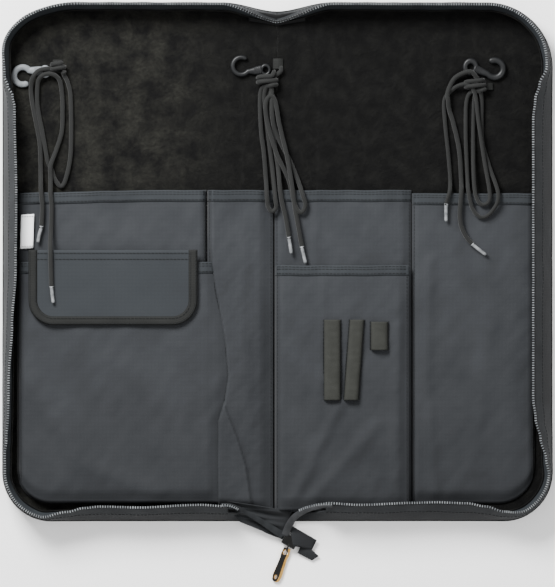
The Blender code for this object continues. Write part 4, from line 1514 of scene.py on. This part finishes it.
@dataclass(frozen=True)
class ZipEnd:
    """Where both halves of the zip leave the bag and meet in the slider."""

    centre: tuple[float, float] = (12.0, -257.0)
    along: tuple[float, float] = (0.867, -0.498)
    hang: tuple[float, float] = (-0.349, -0.937)

    def ribbon(self, name: str, middle: Sequence[Point], widths: Sequence[tuple[float, float]],
               finish: Finish, nodes: tuple[str, ...], side: Side) -> list[tuple[Vector, Vector]]:
        """Tape along a route, with a width on each hand, that crosses a fold.

        Args:
            name: Name of the new object.
            middle: Points of the route.
            widths: Width on the left and on the right at the start and at the end.
            finish: Finish of the tape.
            nodes: CAD nodes it stands for.
            side: The fold that it crosses.

        Returns:
            Points of its right-hand edge, with their directions.
        """
        route = smooth_route(middle, 1.6)
        across, edge = 8, []
        for i, p in enumerate(route):
            ahead = (route[min(i + 1, len(route) - 1)] - route[max(i - 1, 0)]).normalized()
            edge.append((p, ahead, Vector((-ahead.y, ahead.x, 0)).normalized()))
        last = len(route) - 1

        def place(i: int, j: int) -> tuple[float, float, float]:
            """Point of the grid at column i and row j."""
            p, _, left = edge[i]
            t = i / last
            wide = [blend_numbers(widths[0][k], widths[1][k], ease(t)) for k in (0, 1)]
            s = blend_numbers(wide[0], -wide[1], j / across)
            return tuple(p + left * s + Vector((0, 0,
                                                0.5 * math.sin(j / across * math.pi) + 0.2 * math.sin(i))))

        def chart(i: int, j: int) -> tuple[float, float]:
            """UV of a grid point, in metres."""
            return i * 1.6 * MM, j * MM

        tape = baked(thicken(surface(name, last, across, place, chart, flip=True), 0.7))
        WARDROBE.dress(tape, finish)
        if nodes:
            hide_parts(*nodes)
        across_fold(tape, side, 25.0)
        return [(Vector(place(i, across)), edge[i][1]) for i in range(len(route))]

    def teeth(self, name: str, edge: Sequence[tuple[Vector, Vector]], side: Side) -> None:
        """Coil along the free edge of a tape."""
        route = [p for p, _ in edge]
        coil = stitches(name, route, pitch=2.3, size=(0.85, 2.1, 1.4))
        WARDROBE.dress(coil, COIL)
        across_fold(coil, side, 25.0)

    def build(self) -> None:
        """Make the tapes, the slider, the puller and the end tab."""
        middle = ((-51, -221.5, 32.5), (-44, -221.7, 31.5), (-37, -224, 28), (-27, -230.5, 20),
                  (-14, -238.5, 13), (-3, -246, 9), (6, -252, 6.2))
        left = self.ribbon("left_tail_tape", middle, ((0.4, 1.6), (3.4, 3.4)), TAPE, ("zip_tail_left",),
                           Side.LEFT)
        self.teeth("left_tail_coil", left[: len(left) * 3 // 10], Side.LEFT)
        self.gather()
        middle = ((51, -223.5, 32.5), (41.7, -223.6, 32.2), (32, -225.8, 29), (24, -229, 24),
                  (16.5, -234, 17), (11, -242, 11), (7.2, -252, 6.4))
        right = self.ribbon("right_tail_tape", middle, ((2.0, 1.6), (3.5, 3.5)), SATIN_TAPE,
                            ("zip_tail_right",), Side.RIGHT)
        self.teeth("right_tail_coil", right[: len(right) * 11 // 20], Side.RIGHT)
        self.slider()
        self.puller()
        self.end_tab()

    def gather(self) -> None:
        """Gusset cloth that is drawn together in folds under the left half of the zip."""
        a, b, c, d = (Vector(p) for p in ((-52, -219, 17), (14, -229, 11), (5.5, -255, 4.5), (-34, -239, 8)))

        def place(i: int, j: int) -> tuple[float, float, float]:
            """Point of the grid at column i and row j."""
            s, t = i / 40, j / 30
            folds = math.sin(math.pi * s) * (2.4 * math.sin(t * 12 + 3 * s) + 1.1 * math.sin(t * 27 - 4 * s))
            return tuple(d.lerp(c, s).lerp(a.lerp(b, s), t) + Vector((0, 0, folds)))

        cloth = baked(thicken(surface("tail_gathered_cloth", 40, 30, place), 0.7))
        across_fold(WARDROBE.dress(cloth, SHELL), Side.LEFT, 25.0)

    def slider(self) -> None:
        """Cast slider: two plates, the post between them and the bridge that holds the puller."""
        x, y = self.centre
        ahead = Vector((*self.along, 0))
        up = Vector((0, 0, 1))
        shapes = (("top", (0, 0, 5.7), (13.4, 9.6, 1.5), 0.6), ("bottom", (0, 0, 1.4), (13.4, 9.6, 1.5), 0.6),
                  ("post", (4.2, 0, 3.5), (3.0, 2.2, 4.0), 0.4),
                  ("rail_a", (-0.5, 4.3, 3.5), (11, 1.0, 4.4), 0.35),
                  ("rail_b", (-0.5, -4.3, 3.5), (11, 1.0, 4.4), 0.35))
        pieces = []
        for tag, (a, b, z), size, bevel in shapes:
            side = Vector((-ahead.y, ahead.x, 0))
            at = Vector((x, y, z)) + ahead * a + side * b
            pieces.append(block(f"slider_{tag}", seat(at, ahead, up), size, bevel))
        bridge = smooth_route([tuple(Vector((x, y, 0)) + Vector((*self.hang, 0)) * a + up * z)
                               for a, z in ((2.5, 6.0), (5.5, 6.2), (8.3, 4.4), (8.6, 1.7), (6.4, 0.9))], 0.5)
        pieces.append(tube("slider_bridge", bridge, lambda t: 0.75, 10))
        for piece in pieces:
            WARDROBE.dress(piece, ENAMEL)
            riding(piece, "zip_slider")
        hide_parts("zip_slider")

    def puller(self) -> None:
        """Die-cut puller: a brass plate with black enamel on its face, an eye and a hole."""
        hang = Vector((*self.hang, 0))
        pivot = Vector((*self.centre, 1.7)) + hang * 8.6
        place = seat(pivot, hang, Vector((0, 0, 1)))
        half = [(-1.9, 3.1), (4.5, 3.9), (9.0, 3.3), (25.0, 4.3), (29.6, 3.4), (31.0, 1.4)]
        outline = half + [(a, -b) for a, b in reversed(half)]
        eye = [(2.3 + 2.7 * math.cos(a), 2.1 * math.sin(a)) for a in (k * math.pi / 8 for k in range(16))]
        hole = [(26.6 + 2.2 * math.cos(a), 1.8 * math.sin(a)) for a in (k * math.pi / 8 for k in range(16))]
        brass = cut_plate("puller_brass", place, [outline, eye, hole], 1.1, 0.15)
        enamel = cut_plate("puller_enamel", place @ Matrix.Translation((0, -1.1, 0.12)),
                           [[(a, b * 0.7) for a, b in outline], [(a, b * 0.8) for a, b in eye],
                            [(a, b * 0.8) for a, b in hole]], 1.2, 0.2)
        WARDROBE.dress(brass, BRASS)
        WARDROBE.dress(enamel, ENAMEL_PULL)
        for piece in (brass, enamel):
            riding(piece, "zip_puller")
        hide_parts("zip_puller")

    def end_tab(self) -> None:
        """Folded cloth tab that closes the zip's end, with two corners showing."""
        leaves = (("upper", (11.2, -241, 7.4), (36.8, -255.8, 3.6), (32.2, -264.5, 3.0), (15, -261, 8.4)),
                  ("lower", (24.0, -257, 3.4), (38.6, -270.5, 2.4), (32.2, -274.6, 2.0), (18.8, -267.7, 3.0)))
        for tag, a, b, c, d in leaves:
            corners = [Vector(p) for p in (a, b, c, d)]

            def place(i: int, j: int) -> tuple[float, float, float]:
                """Point of the grid at column i and row j."""
                s, t = i / 10, j / 8
                low, high = corners[3].lerp(corners[2], s), corners[0].lerp(corners[1], s)
                puff = 0.9 * math.sin(math.pi * s) * math.sin(math.pi * t)
                return tuple(low.lerp(high, t) + Vector((0, 0, puff)))

            leaf = thicken(surface(f"end_tab_{tag}", 10, 8, place), 0.9)
            WARDROBE.dress(leaf, SHELL)
            riding(leaf, "spine")
            if tag == "lower":
                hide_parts("zip_end_tab")


@dataclass(frozen=True)
class TopEnd:
    """Small cloth patch where the zip starts, in the dip at the top."""

    def build(self) -> None:
        """Make the patch."""
        box = Box.of("zip_top_end")

        def place(i: int, j: int) -> tuple[float, float, float]:
            """Point of the grid at column i and row j."""
            x = blend_numbers(box.x0, box.x1, i / 18)
            dip = 8.5 * (1 - abs(x) / 26)
            y = blend_numbers(box.y0 - 2.0, box.y1 + 1.0, j / 6) + (3 - dip * 0.5)
            return x, y - 2.5, 8.0 + 4.6 * j / 6

        patch = thicken(surface("zip_top_patch", 18, 6, place), 0.8)
        WARDROBE.dress(patch, BLACK_TAPE)
        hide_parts("zip_top_end")
        riding(patch, "spine")


# ---------------------------------------------------------------- the whole bag


@dataclass
class DrumStickBag:
    """The bag laid open."""

    hooks: Sequence[Hook] = field(default_factory=lambda: (
        # The left hook is drawn pale: painted glare
        Hook("left", "left_hook", (-213, 175), (-233.6, 171), 1, -1, ACETAL_GLARE, wire=2.8),
        Hook("centre", "centre_hook", (-10.5, 176.5), (-32.8, 180.2), 1, 1, ACETAL, foot=2.6),
        Hook("right", "right_hook", (178, 179), (200, 177.5), -1, 1, ACETAL, wire=2.8, foot=1.4,
             ring=(5.0, 2.3))))

    def build(self) -> None:
        """Make every sub-assembly."""
        for side in Side:
            Cover(side).build()
            Wall(side).build()
            for node in (f"{side.word}_padding",):
                WARDROBE.dress(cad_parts[node], FOAM)
        WARDROBE.dress(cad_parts["spine_padding"], FOAM)
        for pocket in POCKETS:
            pocket.build()
        ElasticLoop("long_elastic_loop_1").build()
        ElasticLoop("long_elastic_loop_2", lean=5.5).build()
        ElasticLoop("short_elastic_loop").build()
        Flap().build()
        Label().build()
        for word, body in (("left", "left_cover"), ("centre", "spine"), ("right", "right_cover")):
            Tab(word, body).build()
        for hook in self.hooks:
            hook.build()
        for lace in LACES:
            lace.build()
        ZipEnd().build()
        TopEnd().build()


@dataclass(frozen=True)
class Studio:
    """Pale floor, soft light from above and a camera looking straight down."""

    distance: float = 8.0
    centre: tuple[float, float] = (0.0005, -0.029)
    lens: float = 533.3

    def light(self, name: str, energy: float, size: float, at: Point, aim: Point) -> None:
        """Add a soft square light."""
        data = bpy.data.lights.new(name, "AREA")
        data.energy, data.size = energy, size
        lamp = bpy.data.objects.new(name, data)
        lamp.location = at
        lamp.rotation_euler = (Vector(aim) - Vector(at)).to_track_quat("-Z", "Y").to_euler()
        bpy.context.scene.collection.objects.link(lamp)

    def build(self) -> None:
        """Set the floor, lights, world and camera."""
        floor = surface("studio_floor", 1, 1, lambda i, j: (6000 * (i - 0.5), 6000 * (j - 0.5), -0.4))
        paper = bpy.data.materials.new("pale_paper")
        paper.use_nodes = True
        shader = paper.node_tree.nodes["Principled BSDF"]
        shader.inputs["Base Color"].default_value = linear("#fbfbfb")
        shader.inputs["Roughness"].default_value = 0.9
        floor.data.materials.append(paper)
        world = bpy.data.worlds.new("studio")
        world.use_nodes = True
        world.node_tree.nodes["Background"].inputs["Color"].default_value = linear("#ffffff")
        world.node_tree.nodes["Background"].inputs["Strength"].default_value = 0.95
        bpy.context.scene.world = world
        self.light("key", 118.0, 0.8, (-0.8, 1.15, 1.3), (0, 0, 0))
        self.light("fill", 24.0, 2.0, (1.4, -0.6, 2.2), (0, 0, 0))
        data = bpy.data.cameras.new("camera")
        data.lens, data.sensor_width = self.lens, 36.0
        camera = bpy.data.objects.new("camera", data)
        camera.location = (*self.centre, self.distance)
        bpy.context.scene.collection.objects.link(camera)
        bpy.context.scene.camera = camera


def main() -> None:
    """Build the bag and its studio."""
    logging.basicConfig(level=logging.INFO, format="%(name)s: %(message)s")
    DrumStickBag().build()
    Studio().build()


if __name__ == "__main__":
    main()
